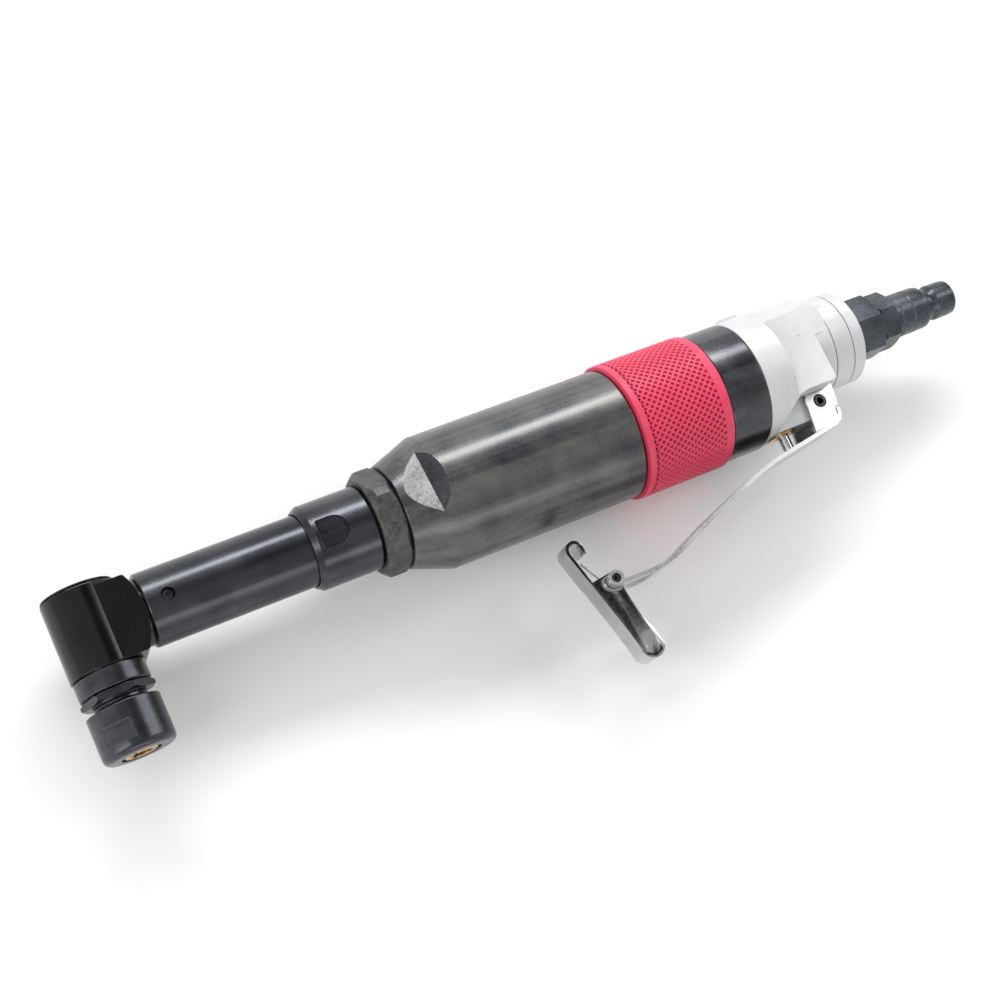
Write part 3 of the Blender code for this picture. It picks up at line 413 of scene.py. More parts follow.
def new_tree(name, kind, inputs, outputs):
    """A node group, with the sockets that its inputs come in by and those that its outputs leave by.

    Inputs are names with defaults: a whole number, a number, or None for a material.
    """
    tree = bpy.data.node_groups.new(name, kind)
    out_type = "NodeSocketGeometry" if kind == "GeometryNodeTree" else "NodeSocketFloat"
    in_types = {int: "NodeSocketInt", float: "NodeSocketFloat", type(None): "NodeSocketMaterial"}
    for label in outputs:
        tree.interface.new_socket(name=label, in_out="OUTPUT", socket_type=out_type)
    for label, default in inputs.items():
        socket = tree.interface.new_socket(name=label, in_out="INPUT", socket_type=in_types[type(default)])
        if default is not None:
            socket.default_value = default
    return tree, tree.nodes.new("NodeGroupInput").outputs, tree.nodes.new("NodeGroupOutput").inputs


def shared_group(name, maker):
    return bpy.data.node_groups.get(name) or maker()


# ---------------------------------------------------------------- geometry node trees


def end_tree(tree, get, out, geometry):
    """Ends a geometry tree with real meshes in the given material."""
    real = add_node(tree, "GeometryNodeRealizeInstances", {"Geometry": geometry})
    dressed = add_node(
        tree, "GeometryNodeSetMaterial", {"Geometry": real.outputs[0], "Material": get["Material"]}
    )
    tree.links.new(dressed.outputs[0], out["Geometry"])
    return tree


def knurl_tree():
    """Net of crossed ridges round a cylinder along +Z: rhombic cells, each with a sunken middle."""
    tree, get, out = new_tree(
        "knurl_net", "GeometryNodeTree",
        {"Columns": 60, "Rows": 11, "Pitch": 0.00244, "Radius": 0.022, "Depth": 0.0005, "Pit share": 0.6,
         "Material": None},
        ["Geometry"],
    )
    pitch, radius, columns, rows = get["Pitch"], get["Radius"], get["Columns"], get["Rows"]
    width = calc(tree, "MULTIPLY", calc(tree, "DIVIDE", 2 * pi, columns), radius)
    cell = add_node(tree, "GeometryNodeMeshCircle", {"Vertices": 4, "Radius": 1.0}, fill_type="NGON")
    half = vector(tree, calc(tree, "MULTIPLY", pitch, 0.5), calc(tree, "MULTIPLY", width, 0.5), 1.0)
    sized = add_node(tree, "GeometryNodeTransform", {"Geometry": cell.outputs[0], "Scale": half})
    land = add_node(
        tree, "GeometryNodeExtrudeMesh", {"Mesh": sized.outputs[0], "Offset Scale": 0.0}, mode="FACES"
    )
    rim = add_node(
        tree, "GeometryNodeScaleElements",
        {"Geometry": land.outputs["Mesh"], "Selection": land.outputs["Top"], "Scale": get["Pit share"]},
    )
    dip = add_node(
        tree, "GeometryNodeExtrudeMesh",
        {"Mesh": rim.outputs[0], "Selection": land.outputs["Top"], "Offset": (0.0, 0.0, 1.0),
         "Offset Scale": calc(tree, "MULTIPLY", get["Depth"], -1.0)},
        mode="FACES",
    )
    floor = add_node(
        tree, "GeometryNodeScaleElements",
        {"Geometry": dip.outputs["Mesh"], "Selection": dip.outputs["Top"], "Scale": 0.5},
    )
    long_side = calc(tree, "MULTIPLY", calc(tree, "SUBTRACT", rows, 1.0), pitch)
    round_side = calc(tree, "MULTIPLY", calc(tree, "SUBTRACT", columns, 1.0), width)
    both = add_node(tree, "GeometryNodeJoinGeometry")
    for shift in (0.0, 0.5):
        grid = add_node(
            tree, "GeometryNodeMeshGrid",
            {"Size X": long_side, "Size Y": round_side, "Vertices X": rows, "Vertices Y": columns},
        )
        offset = vector(
            tree, calc(tree, "MULTIPLY_ADD", long_side, 0.5, calc(tree, "MULTIPLY", pitch, shift)),
            calc(tree, "MULTIPLY", width, shift),
        )
        moved = add_node(tree, "GeometryNodeTransform", {"Geometry": grid.outputs[0], "Translation": offset})
        spots = add_node(
            tree, "GeometryNodeInstanceOnPoints", {"Points": moved.outputs[0], "Instance": floor.outputs[0]}
        )
        tree.links.new(spots.outputs[0], both.inputs[0])
    real = add_node(tree, "GeometryNodeRealizeInstances", {"Geometry": both.outputs[0]})
    position = add_node(tree, "GeometryNodeInputPosition").outputs[0]
    along, around, height = add_node(tree, "ShaderNodeSeparateXYZ", {0: position}).outputs
    angle = calc(tree, "DIVIDE", around, radius)
    reach = calc(tree, "ADD", radius, height)
    wrapped = vector(
        tree, calc(tree, "MULTIPLY", reach, calc(tree, "COSINE", angle)),
        calc(tree, "MULTIPLY", reach, calc(tree, "SINE", angle)), along,
    )
    bent = add_node(tree, "GeometryNodeSetPosition", {"Geometry": real.outputs[0], "Position": wrapped})
    welded = add_node(tree, "GeometryNodeMergeByDistance", {"Geometry": bent.outputs[0], "Distance": 0.00002})
    return end_tree(tree, get, out, welded.outputs[0])


def coil_tree():
    """A round wire wound along +Z."""
    tree, get, out = new_tree(
        "wound_wire", "GeometryNodeTree",
        {"Turns": 4.0, "Coil radius": 0.003, "Height": 0.006, "Wire radius": 0.0004, "Material": None},
        ["Geometry"],
    )
    spiral = add_node(
        tree, "GeometryNodeCurveSpiral",
        {"Resolution": 28, "Rotations": get["Turns"], "Start Radius": get["Coil radius"],
         "End Radius": get["Coil radius"], "Height": get["Height"]},
    )
    section = add_node(
        tree, "GeometryNodeCurvePrimitiveCircle", {"Resolution": 12, "Radius": get["Wire radius"]}
    )
    tube = add_node(
        tree, "GeometryNodeCurveToMesh",
        {"Curve": spiral.outputs[0], "Profile Curve": section.outputs[0], "Fill Caps": True},
    )
    return end_tree(tree, get, out, tube.outputs[0])


def ring_tree():
    """Ribs of a threaded length: copies of a small ridge round a circle, spaced evenly along +Z."""
    tree, get, out = new_tree(
        "thread_ribs", "GeometryNodeTree",
        {"Count": 6, "Pitch": 0.001, "Root radius": 0.007, "Rib": 0.0003, "Material": None},
        ["Geometry"],
    )
    offset = vector(tree, z=get["Pitch"])
    line = add_node(tree, "GeometryNodeMeshLine", {"Count": get["Count"], "Offset": offset}, mode="OFFSET")
    circle = add_node(
        tree, "GeometryNodeCurvePrimitiveCircle", {"Resolution": 72, "Radius": get["Root radius"]}
    )
    section = add_node(tree, "GeometryNodeCurvePrimitiveCircle", {"Resolution": 4, "Radius": get["Rib"]})
    rib = add_node(
        tree, "GeometryNodeCurveToMesh", {"Curve": circle.outputs[0], "Profile Curve": section.outputs[0]}
    )
    ribs = add_node(
        tree, "GeometryNodeInstanceOnPoints", {"Points": line.outputs[0], "Instance": rib.outputs[0]}
    )
    return end_tree(tree, get, out, ribs.outputs[0])


def grown(name, tree, values, axis):
    """The mesh that a geometry node tree makes from these inputs, moved to the axis frame."""
    carrier = bpy.data.objects.new(name, bpy.data.meshes.new(name))
    bpy.context.scene.collection.objects.link(carrier)
    step = carrier.modifiers.new("grown", "NODES")
    step.node_group = tree
    for item in tree.interface.items_tree:
        if item.in_out == "INPUT" and item.name in values:
            step[item.identifier] = values[item.name]
    bake(carrier)
    carrier.data.transform(axis)
    shape = bmesh.new()
    shape.from_mesh(carrier.data)
    bmesh.ops.recalc_face_normals(shape, faces=shape.faces)
    shape.to_mesh(carrier.data)
    shape.free()
    return carrier


# ---------------------------------------------------------------- surfaces


NOISE_SPAN = (0.3, 0.7)  # nearly all of a noise texture's values lie between these


def speckle_group():
    """Fine grain, broad mottling and lengthwise streaks, each as a mask from 0 to 1."""
    tree, get, out = new_tree(
        "metal_variation", "ShaderNodeTree",
        {"Grain size": 2000.0, "Patch size": 60.0, "Streak": 0.03, "Streak size": 400.0},
        ["Grain", "Patches", "Streaks"],
    )
    place = object_place(tree)
    pulled = add_node(
        tree, "ShaderNodeVectorMath", {0: place, 1: vector(tree, get["Streak"], 1.0, 1.0)},
        operation="MULTIPLY",
    )
    tree.links.new(noise(tree, place, get["Grain size"], 3.0, 0.6), out["Grain"])
    tree.links.new(noise(tree, place, get["Patch size"], 4.0, 0.55), out["Patches"])
    tree.links.new(noise(tree, pulled.outputs[0], get["Streak size"], 5.0, 0.7), out["Streaks"])
    return tree


def edge_group():
    """Mask of the edges that handling has rubbed bright."""
    tree, get, out = new_tree("rubbed_edges", "ShaderNodeTree", {"Width": 0.0004, "Amount": 1.0}, ["Mask"])
    rounded_off = add_node(tree, "ShaderNodeBevel", {"Radius": get["Width"]}, samples=4)
    flat = add_node(tree, "ShaderNodeNewGeometry").outputs["Normal"]
    same = add_node(
        tree, "ShaderNodeVectorMath", {0: rounded_off.outputs[0], 1: flat}, operation="DOT_PRODUCT"
    )
    open_edge = ramp(tree, same.outputs["Value"], 0.995, 0.90, 0.0, 1.0)
    ragged = ramp(tree, noise(tree, object_place(tree), 700.0, 4.0), 0.38, 0.62, 0.15, 1.0)
    mask = calc(tree, "MULTIPLY", calc(tree, "MULTIPLY", open_edge, ragged), get["Amount"])
    tree.links.new(mask, out["Mask"])
    return tree


def surface(name):
    """A material of the finished tool, its node tree and shader, or None for both once it is made."""
    name = f"grinder_{name}"
    old = bpy.data.materials.get(name)
    if old:
        return old, None, None
    made = bpy.data.materials.new(name)
    made.use_nodes = True
    return made, made.node_tree, made.node_tree.nodes["Principled BSDF"]


def coat_surface(tree, shader, colour, rough, bump, depth, height):
    """Feeds the shader its colour, its roughness and a relief of this strength and depth in metres."""
    bumped = add_node(tree, "ShaderNodeBump", {"Strength": bump, "Distance": depth, "Height": height})
    tree.links.new(colour, shader.inputs["Base Color"])
    tree.links.new(rough, shader.inputs["Roughness"])
    tree.links.new(bumped.outputs[0], shader.inputs["Normal"])


def metal(name, dark, light, metallic, rough, grain=(2000.0, 0.02), patches=(60.0, 0.5),
          streaks=(0.03, 0.0, 900.0), wear=(0.0003, 0.0), worn=(0.5, 0.5, 0.5), bump=0.02):
    """A metal finish: two tones mixed by mottling and streaks, rubbed edges, and a fine grain in the relief.

    grain is (scale, share in roughness), patches (scale, share in colour), streaks (stretch, share in colour,
    scale), and wear (width of the rubbed edge in metres, strength).
    """
    made, tree, shader = surface(name)
    if tree is None:
        return made
    varied = add_node(
        tree, "ShaderNodeGroup",
        {"Grain size": grain[0], "Patch size": patches[0], "Streak": streaks[0], "Streak size": streaks[2]},
        node_tree=shared_group("metal_variation", speckle_group),
    ).outputs
    tone = 0.5
    for mask, share in (("Patches", patches[1]), ("Streaks", streaks[1]), ("Grain", grain[1] * 4)):
        tone = calc(tree, "ADD", tone, ramp(tree, varied[mask], *NOISE_SPAN, -share, share, clamp=False))
    tone.node.use_clamp = True
    colour = mix_colour(tree, tone, dark, light)
    if wear[1] > 0.0:
        edges = add_node(
            tree, "ShaderNodeGroup", {"Width": wear[0], "Amount": wear[1]},
            node_tree=shared_group("rubbed_edges", edge_group),
        )
        colour = mix_colour(tree, edges.outputs["Mask"], colour, worn)
    swing = grain[1] * 6
    sheen = ramp(tree, varied["Grain"], *NOISE_SPAN, rough * (1 - swing), rough * (1 + swing))
    smear = ramp(tree, varied["Patches"], *NOISE_SPAN, 0.85, 1.15)
    relief = calc(tree, "ADD", varied["Grain"], varied["Streaks"])
    coat_surface(tree, shader, colour, calc(tree, "MULTIPLY", sheen, smear), bump, 0.0002, relief)
    shader.inputs["Metallic"].default_value = metallic
    return made


def grip_surface(ridge, worn_ridge, pit, low, high):
    """Red anodised knurl, with the colour going from the pits at the low radius to the ridges at the high
    one, in metres; the darker red towards the pits is painted shade.
    """
    made, tree, shader = surface("red_knurl")
    if tree is None:
        return made
    place = object_place(tree)
    centred = add_node(tree, "ShaderNodeMapping", {"Vector": place, "Location": -ORIGIN})
    across = add_node(tree, "ShaderNodeSeparateXYZ", {0: centred.outputs[0]}).outputs
    radius = add_node(
        tree, "ShaderNodeVectorMath", {0: vector(tree, across[1], across[2])}, operation="LENGTH"
    )
    # painted shade: the red darkens from the ridges towards the knurl's pits, by radius
    depth = ramp(tree, radius.outputs["Value"], low, high, 0.0, 1.0)
    mottle = noise(tree, place, 260.0, 4.0)
    top = mix_colour(tree, ramp(tree, mottle, *NOISE_SPAN, 0.0, 0.35), ridge, worn_ridge)
    rough = ramp(tree, mottle, *NOISE_SPAN, 0.42, 0.56)
    fine = noise(tree, place, 3500.0, 2.0)
    coat_surface(tree, shader, mix_colour(tree, depth, pit, top), rough, 0.05, 0.0001, fine)
    return made


def cast_surface(light, shadow):
    """Bead-blasted cast alloy: pale, with a fine grain, faint flow marks and a few tiny dark pits."""
    made, tree, shader = surface("cast_alloy")
    if tree is None:
        return made
    place = object_place(tree)
    grain = noise(tree, place, 2600.0, 3.0, 0.6)
    flow = noise(tree, place, 90.0, 5.0, 0.6, 0.6)
    cells = add_node(tree, "ShaderNodeTexVoronoi", {"Vector": place, "Scale": 210.0, "Randomness": 1.0})
    centre = ramp(tree, cells.outputs["Distance"], 0.045, 0.075, 1.0, 0.0)
    chance = add_node(tree, "ShaderNodeSeparateColor", {0: cells.outputs["Color"]}).outputs[0]
    pits = calc(tree, "MULTIPLY", centre, calc(tree, "GREATER_THAN", chance, 0.82))
    colour = mix_colour(tree, ramp(tree, flow, 0.35, 0.75, 0.0, 0.45), light, shadow)
    colour = mix_colour(tree, pits, colour, (0.16, 0.16, 0.17))
    rough = ramp(tree, grain, *NOISE_SPAN, 0.38, 0.56)
    height = calc(tree, "ADD", grain, calc(tree, "MULTIPLY", pits, -1.5))
    coat_surface(tree, shader, colour, rough, 0.12, 0.0002, height)
    shader.inputs["Metallic"].default_value = 0.35
    return made


def soft_surface(name, dark, light, rough, scale, bump):
    """Rubber, felt or resin: a broken two-tone colour over a soft relief."""
    made, tree, shader = surface(name)
    if tree is None:
        return made
    mottle = noise(tree, object_place(tree), scale, 5.0, 0.7)
    colour = mix_colour(tree, ramp(tree, mottle, *NOISE_SPAN, 0.0, 1.0), dark, light)
    spread = ramp(tree, mottle, 0.0, 1.0, rough * 0.85, min(rough * 1.15, 1.0))
    coat_surface(tree, shader, colour, spread, bump, 0.0003, mottle)
    return made


def finishes():
    """Every surface by the name that the pieces use."""
    tones = bpy.context.scene.grinder_finishes
    return {
        "oxide": metal(
            "black_oxide", tones.oxide, (0.070, 0.074, 0.083), 0.8, 0.25, grain=(1500.0, 0.015),
            patches=(45.0, 0.5), streaks=(0.02, 0.4, 400.0), wear=(0.00035, 0.5), worn=(0.28, 0.29, 0.31),
            bump=0.012,
        ),
        "gloss": metal(
            "gloss_black_oxide", tones.gloss, (0.008, 0.008, 0.009), 0.25, 0.16, grain=(1200.0, 0.03),
            patches=(40.0, 0.5), streaks=(0.05, 0.1, 500.0), wear=(0.0003, 0.45), worn=(0.13, 0.13, 0.14),
            bump=0.015,
        ),
        "blued": metal(
            "blued_steel", tones.blued, (0.150, 0.146, 0.137), 0.65, 0.30, grain=(1800.0, 0.02),
            patches=(80.0, 0.28), streaks=(0.012, 0.45, 190.0), wear=(0.0003, 0.5), worn=(0.55, 0.55, 0.56),
            bump=0.03,
        ),
        "fitting": metal(
            "blue_black_fitting", (0.045, 0.052, 0.062), (0.10, 0.11, 0.125), 0.8, 0.32, grain=(1600.0, 0.06),
            patches=(90.0, 0.6), streaks=(0.2, 0.2, 700.0), wear=(0.00035, 0.5), worn=(0.30, 0.31, 0.33),
            bump=0.06,
        ),
        # dark steel of the band, also put on the notches' ramps as painted shade
        "band": metal(
            "dark_band_steel_and_ramp_shade", (0.035, 0.037, 0.041), (0.10, 0.102, 0.11), 0.9, 0.24, grain=(1800.0, 0.03),
            streaks=(0.03, 0.3, 400.0), wear=(0.0003, 0.4), worn=(0.3, 0.3, 0.31),
        ),
        "phosphate": metal(
            "grey_phosphate", tones.phosphate, (0.105, 0.106, 0.106), 0.6, 0.5, grain=(1400.0, 0.08),
            patches=(260.0, 0.5), streaks=(1.0, 0.2, 900.0), wear=(0.0004, 0.6), worn=(0.34, 0.34, 0.34),
            bump=0.3,
        ),
        "chrome": metal(
            "chrome_plate", tones.chrome, (0.60, 0.60, 0.61), 1.0, 0.12, grain=(800.0, 0.04),
            patches=(50.0, 0.5), streaks=(0.06, 0.15, 300.0), bump=0.004,
        ),
        "nickel": metal(
            "satin_nickel", (0.56, 0.56, 0.57), (0.70, 0.70, 0.71), 1.0, 0.30, grain=(1200.0, 0.02),
            patches=(60.0, 0.3), streaks=(0.05, 0.15, 300.0), bump=0.003,
        ),
        "steel": metal(
            "ground_steel", (0.42, 0.43, 0.44), (0.60, 0.61, 0.62), 1.0, 0.26, grain=(1500.0, 0.04),
            patches=(90.0, 0.4), streaks=(0.05, 0.3, 900.0), bump=0.03,
        ),
        "notch": metal(
            "machined_notch", (0.25, 0.252, 0.256), (0.38, 0.382, 0.386), 1.0, 0.38, grain=(1500.0, 0.05),
            patches=(150.0, 0.3), streaks=(4.0, 0.5, 900.0), bump=0.06,
        ),
        "brass": metal(
            "machined_brass", (0.55, 0.33, 0.10), (0.72, 0.50, 0.20), 1.0, 0.26, grain=(1500.0, 0.03),
            patches=(120.0, 0.5), streaks=(1.0, 0.2, 900.0), bump=0.03,
        ),
        "bronze": metal(
            "collet_bronze", (0.40, 0.22, 0.08), (0.66, 0.44, 0.20), 0.95, 0.32, grain=(1500.0, 0.04),
            patches=(150.0, 0.6), streaks=(1.0, 0.2, 900.0), bump=0.05,
        ),
        "cast": cast_surface(tones.cast, (0.42, 0.43, 0.45)),
        # the grip's darker pit red is painted shade in the knurl's pits
        "grip": grip_surface(tones.grip_ridge, (0.68, 0.065, 0.135), tones.grip_pit_shade, 0.0217, 0.02205),
        "rubber": soft_surface("seal_rubber", (0.012, 0.012, 0.012), (0.03, 0.03, 0.03), 0.7, 800.0, 0.1),
        "felt": soft_surface("silencer_felt", (0.30, 0.29, 0.27), (0.55, 0.53, 0.50), 0.95, 2500.0, 0.6),
        "resin": soft_surface("vane_resin", (0.14, 0.08, 0.035), (0.26, 0.16, 0.08), 0.6, 900.0, 0.15),
    }


SLOT_SURFACES = {
    "black_oxide_steel": "oxide",
    "blued_steel": "blued",
    "phosphate_steel": "phosphate",
    "chrome_plate": "chrome",
    "ground_steel": "steel",
    "cast_aluminium": "cast",
    "red_grip": "grip",
    "brass": "brass",
    "bronze": "bronze",
    "seal_rubber": "rubber",
    "silencer_felt": "felt",
    "vane_resin": "resin",
}


# ---------------------------------------------------------------- settings


def colour_setting(name, description, default):
    return bpy.props.FloatVectorProperty(
        name=name, description=description, default=default, size=3, min=0.0, max=1.0, subtype="COLOR"
    )


def length_setting(name, description, default):
    """A length whose default is given in millimetres."""
    return bpy.props.FloatProperty(
        name=name, description=description, default=default * MM, min=0.0, unit="LENGTH"
    )


class GrinderSizes(bpy.types.PropertyGroup):
    """Sizes of the pieces that a maker might change."""

    head_radius: length_setting("Head radius", "Radius of the angle head", 11.0)
    neck_radius: length_setting("Neck radius", "Radius of the long neck", 11.1)
    sleeve_radius: length_setting("Sleeve radius", "Radius of the clamping sleeve", 13.1)
    jam_flats: length_setting("Jam nut flats", "Width of the jam nut across its flats", 30.0)
    barrel_radius: length_setting("Barrel radius", "Radius of the motor housing", 21.0)
    grip_radius: length_setting("Grip radius", "Radius of the grip over its front lip", GRIP_REACH)
    nut_radius: length_setting("Collet nut radius", "Radius of the collet's clamping nut", 10.8)
    lever_half: length_setting("Lever half width", "Half the width of the squeeze lever", 7.9)
    sheet: length_setting("Lever sheet", "Thickness of the squeeze lever's sheet", 1.3)
    knurl_columns: bpy.props.IntProperty(
        name="Knurl columns", description="Ridges that cross each line round the grip, each way",
        default=60, min=12, max=120
    )
    knurl_pitch: length_setting("Knurl pitch", "Distance along the grip from one pit to the next", 2.44)
    knurl_depth: length_setting("Knurl depth", "Depth of the knurl's pits", 0.5)
    knurl_share: bpy.props.FloatProperty(
        name="Pit share", description="Width of a pit as a share of its cell",
        default=0.70, min=0.1, max=0.9, subtype="FACTOR"
    )


class GrinderFinishes(bpy.types.PropertyGroup):
    """Colours of the finishes."""

    oxide: colour_setting("Black oxide", "Blackened steel of the neck, nut and plug", (0.034, 0.036, 0.042))
    gloss: colour_setting("Gloss black", "Deep black of the angle head", (0.0025, 0.0025, 0.0025))
    blued: colour_setting("Blued steel", "Dark grey steel of the motor housing", (0.045, 0.049, 0.057))
    phosphate: colour_setting("Phosphate", "Matt grey of the jam nut", (0.040, 0.042, 0.044))
    chrome: colour_setting("Chrome", "Plating of the levers", (0.44, 0.44, 0.45))
    cast: colour_setting("Cast alloy", "Pale blasted alloy of the rear housing", (0.58, 0.59, 0.60))
    grip_ridge: colour_setting("Grip ridges", "Red of the knurl's ridges", (0.62, 0.033, 0.088))
    # painted shade: the darker red in the knurl's pits stands in for the shade there
    grip_pit_shade: colour_setting("Grip pits", "Deeper red in the knurl's pits", (0.38, 0.008, 0.032))


class GrinderStudio(bpy.types.PropertyGroup):
    """Floor, lights and camera."""

    floor: colour_setting("Floor", "Pale floor that the tool lies on", (0.86, 0.86, 0.86))
    sky: bpy.props.FloatProperty(
        name="Room light", description="Strength of the even light from all round",
        default=0.85, min=0.0, max=5.0
    )
    key: bpy.props.FloatProperty(
        name="Key light", description="Power of the large light in watts", default=5.5, min=0.0, max=100.0
    )
    lens: bpy.props.FloatProperty(
        name="Lens", description="Focal length in millimetres", default=64.47, min=20.0, max=200.0
    )


def sizes():
    """The settings in millimetres by name, with the plain numbers as they are."""
    held = bpy.context.scene.grinder_sizes
    plain = {"knurl_columns", "knurl_share"}
    return {key: getattr(held, key) / (1 if key in plain else MM) for key in GrinderSizes.__annotations__}


# ---------------------------------------------------------------- pieces


class GRINDER_OT_frame_surfaces(bpy.types.Operator):
    """Give every frame node its procedural surface"""

    bl_idname = "grinder.frame_surfaces"
    bl_label = "Frame surfaces"

    def execute(self, context):
        made = finishes()
        slots = {row["node"]: row["material_slot"] for row in frame["record"]["subparts"]}
        for name, node in frame["nodes"].items():
            chosen = made[SLOT_SURFACES[slots[name]]]
            node.data.materials.clear()
            node.data.materials.append(chosen)
        return {"FINISHED"}


class GRINDER_OT_angle_head(bpy.types.Operator):
    """Build the angle head, its screwed top cap and the bearing's retaining ring"""

    bl_idname = "grinder.angle_head"
    bl_label = "Angle head"

    def execute(self, context):
        skin = finishes()
        size = sizes()
        radius = size["head_radius"]
        head = turned(
            "head",
            [(-11.4, 0.0), (-11.4, radius, 0.5), (12.6, radius, 0.35), (12.6, 0.0)],
            SPINDLE,
        )
        centre = (-7.4, -0.7)
        back = arc(centre, 22.4, -31.5, 28.0, 28)
        end_x, end_y = back[-1]
        outline = [(0.0, -12.6), (back[0][0] - 0.8, -12.6, 0.5)] + back
        outline += [(end_x - 0.6, end_y + 0.2), (0.0, end_y + 0.2)]
        join(head, slab("head_body", outline, -10.2, 10.2))
        shoulder = [(6.0, 0.0), (6.0, 10.1), (15.1, 10.1, 0.3), (15.1, 8.4), (33.0, 8.4), (33.0, 0.0)]
        join(head, turned("shoulder", shoulder, MAIN))
        cut(head, rod("cavity", 9.0, -8.9, 14.0, SPINDLE))
        cut(head, rod("cap_bore", 6.5, -13.0, -8.0, SPINDLE))
        cut(head, rod("shaft_bore", 7.1, 2.0, 34.0, MAIN))
        cut(head, rod("screw_hole", 1.6, 0.0, 20.0, TOOL, (SCREW_X, 0.0), 24))
        ease(head, 0.35, 28, 3)
        finish(head, "angle_head", "body", skin["gloss"], ["head_housing"])
        cap = turned(
            "cap",
            [(-12.2, 0.0), (-12.2, 5.6), (-12.0, 5.9), (-12.0, 6.3), (-12.2, 6.6), (-12.2, 10.7, 0.35),
             (-11.7, 10.7), (-11.7, 6.1), (-9.2, 6.1), (-9.2, 0.0)],
            SPINDLE,
        )
        for side in (-1, 1):
            cut(cap, rod("pin_hole", 0.9, -13.2, -10.6, SPINDLE, (0.0, 4.2 * side), 24))
        ease(cap, 0.12, 40, 2)
        finish(cap, "head_top_cap", "body", skin["gloss"], ["head_cap"])
        ring = turned(
            "ring",
            [(12.9, 7.6), (12.9, 10.5, 0.2), (18.4, 10.5, 0.5), (18.4, 5.4, 0.2), (17.0, 5.4), (17.0, 7.6)],
            SPINDLE,
        )
        finish(ring, "bearing_ring", "body", skin["oxide"], ["bearing_retainer"])
        return {"FINISHED"}


class GRINDER_OT_spindle_and_collet(bpy.types.Operator):
    """Build the spindle with its spanner hexagon, the split collet and the clamping nut"""

    bl_idname = "grinder.spindle_and_collet"
    bl_label = "Spindle and collet"

    def execute(self, context):
        skin = finishes()
        size = sizes()
        spindle = turned(
            "spindle_body",
            [(-8.4, 0.0), (-8.4, 3.0, 0.2), (-4.2, 3.0), (-4.2, 4.0), (17.2, 4.0), (17.2, 5.0), (20.7, 5.0),
             (20.7, 7.9), (34.0, 7.9, 0.3), (34.0, 5.9), (25.0, 4.4), (25.0, 3.35), (22.0, 3.35),
             (20.0, 0.0)],
            SPINDLE,
        )
        flange = turned(
            "flange",
            [(18.8, 4.6), (18.8, 10.2), (19.3, 10.95), (20.3, 10.95), (20.9, 10.0), (20.9, 4.6)],
            SPINDLE,
        )
        common(flange, hexagon(19.0, 15.0, 25.0, SPINDLE, 37.2))
        ease(flange, 0.15, 25, 2)
        join(spindle, flange)
        finish(spindle, "spindle_shaft", "spindle_body", skin["oxide"], ["spindle"])
        ribs = grown(
            "ribs", shared_group("thread_ribs", ring_tree),
            {"Count": 3, "Pitch": 1.0 * MM, "Root radius": 7.72 * MM, "Rib": 0.42 * MM,
             "Material": skin["oxide"]},
            SPINDLE @ Matrix.Translation((0.0, 0.0, 21.5 * MM)),
        )
        finish(ribs, "spindle_thread", "spindle_body", skin["oxide"])
        collet = turned(
            "jaws",
            [(25.4, 4.1), (34.3, 5.55, 0.2), (36.2, 5.55, 0.4), (37.3, 4.7, 0.3), (37.3, 3.05, 0.15),
             (25.4, 3.05)],
            SPINDLE, 72,
        )
        for i in range(3):
            turn = Matrix.Rotation(2 * pi * i / 3, 4, "Z")
            cut(collet, block("slit", (0.0, -0.35, 27.6), (8.0, 0.35, 39.6), SPINDLE @ turn))
        finish(collet, "split_collet", "collet_body", skin["bronze"], ["collet"])
        radius = size["nut_radius"]
        nut = turned(
            "nut",
            [(23.2, 8.2, 0.1), (23.2, radius, 0.4), (37.4, radius, 2.9), (37.4, 5.9, 0.25), (34.4, 5.9),
             (34.4, 8.2)],
            SPINDLE,
        )
        for side in (0, 1):
            turn = Matrix.Rotation(radians(120.7) + side * pi, 4, "Z")
            cut(nut, block("flat", (9.5, -5.05, 28.2), (14.0, 5.05, 33.7), SPINDLE @ turn))
        ease(nut, 0.12, 35, 2)
        finish(nut, "clamping_nut", "nut_body", skin["oxide"], ["collet_nut"])
        return {"FINISHED"}


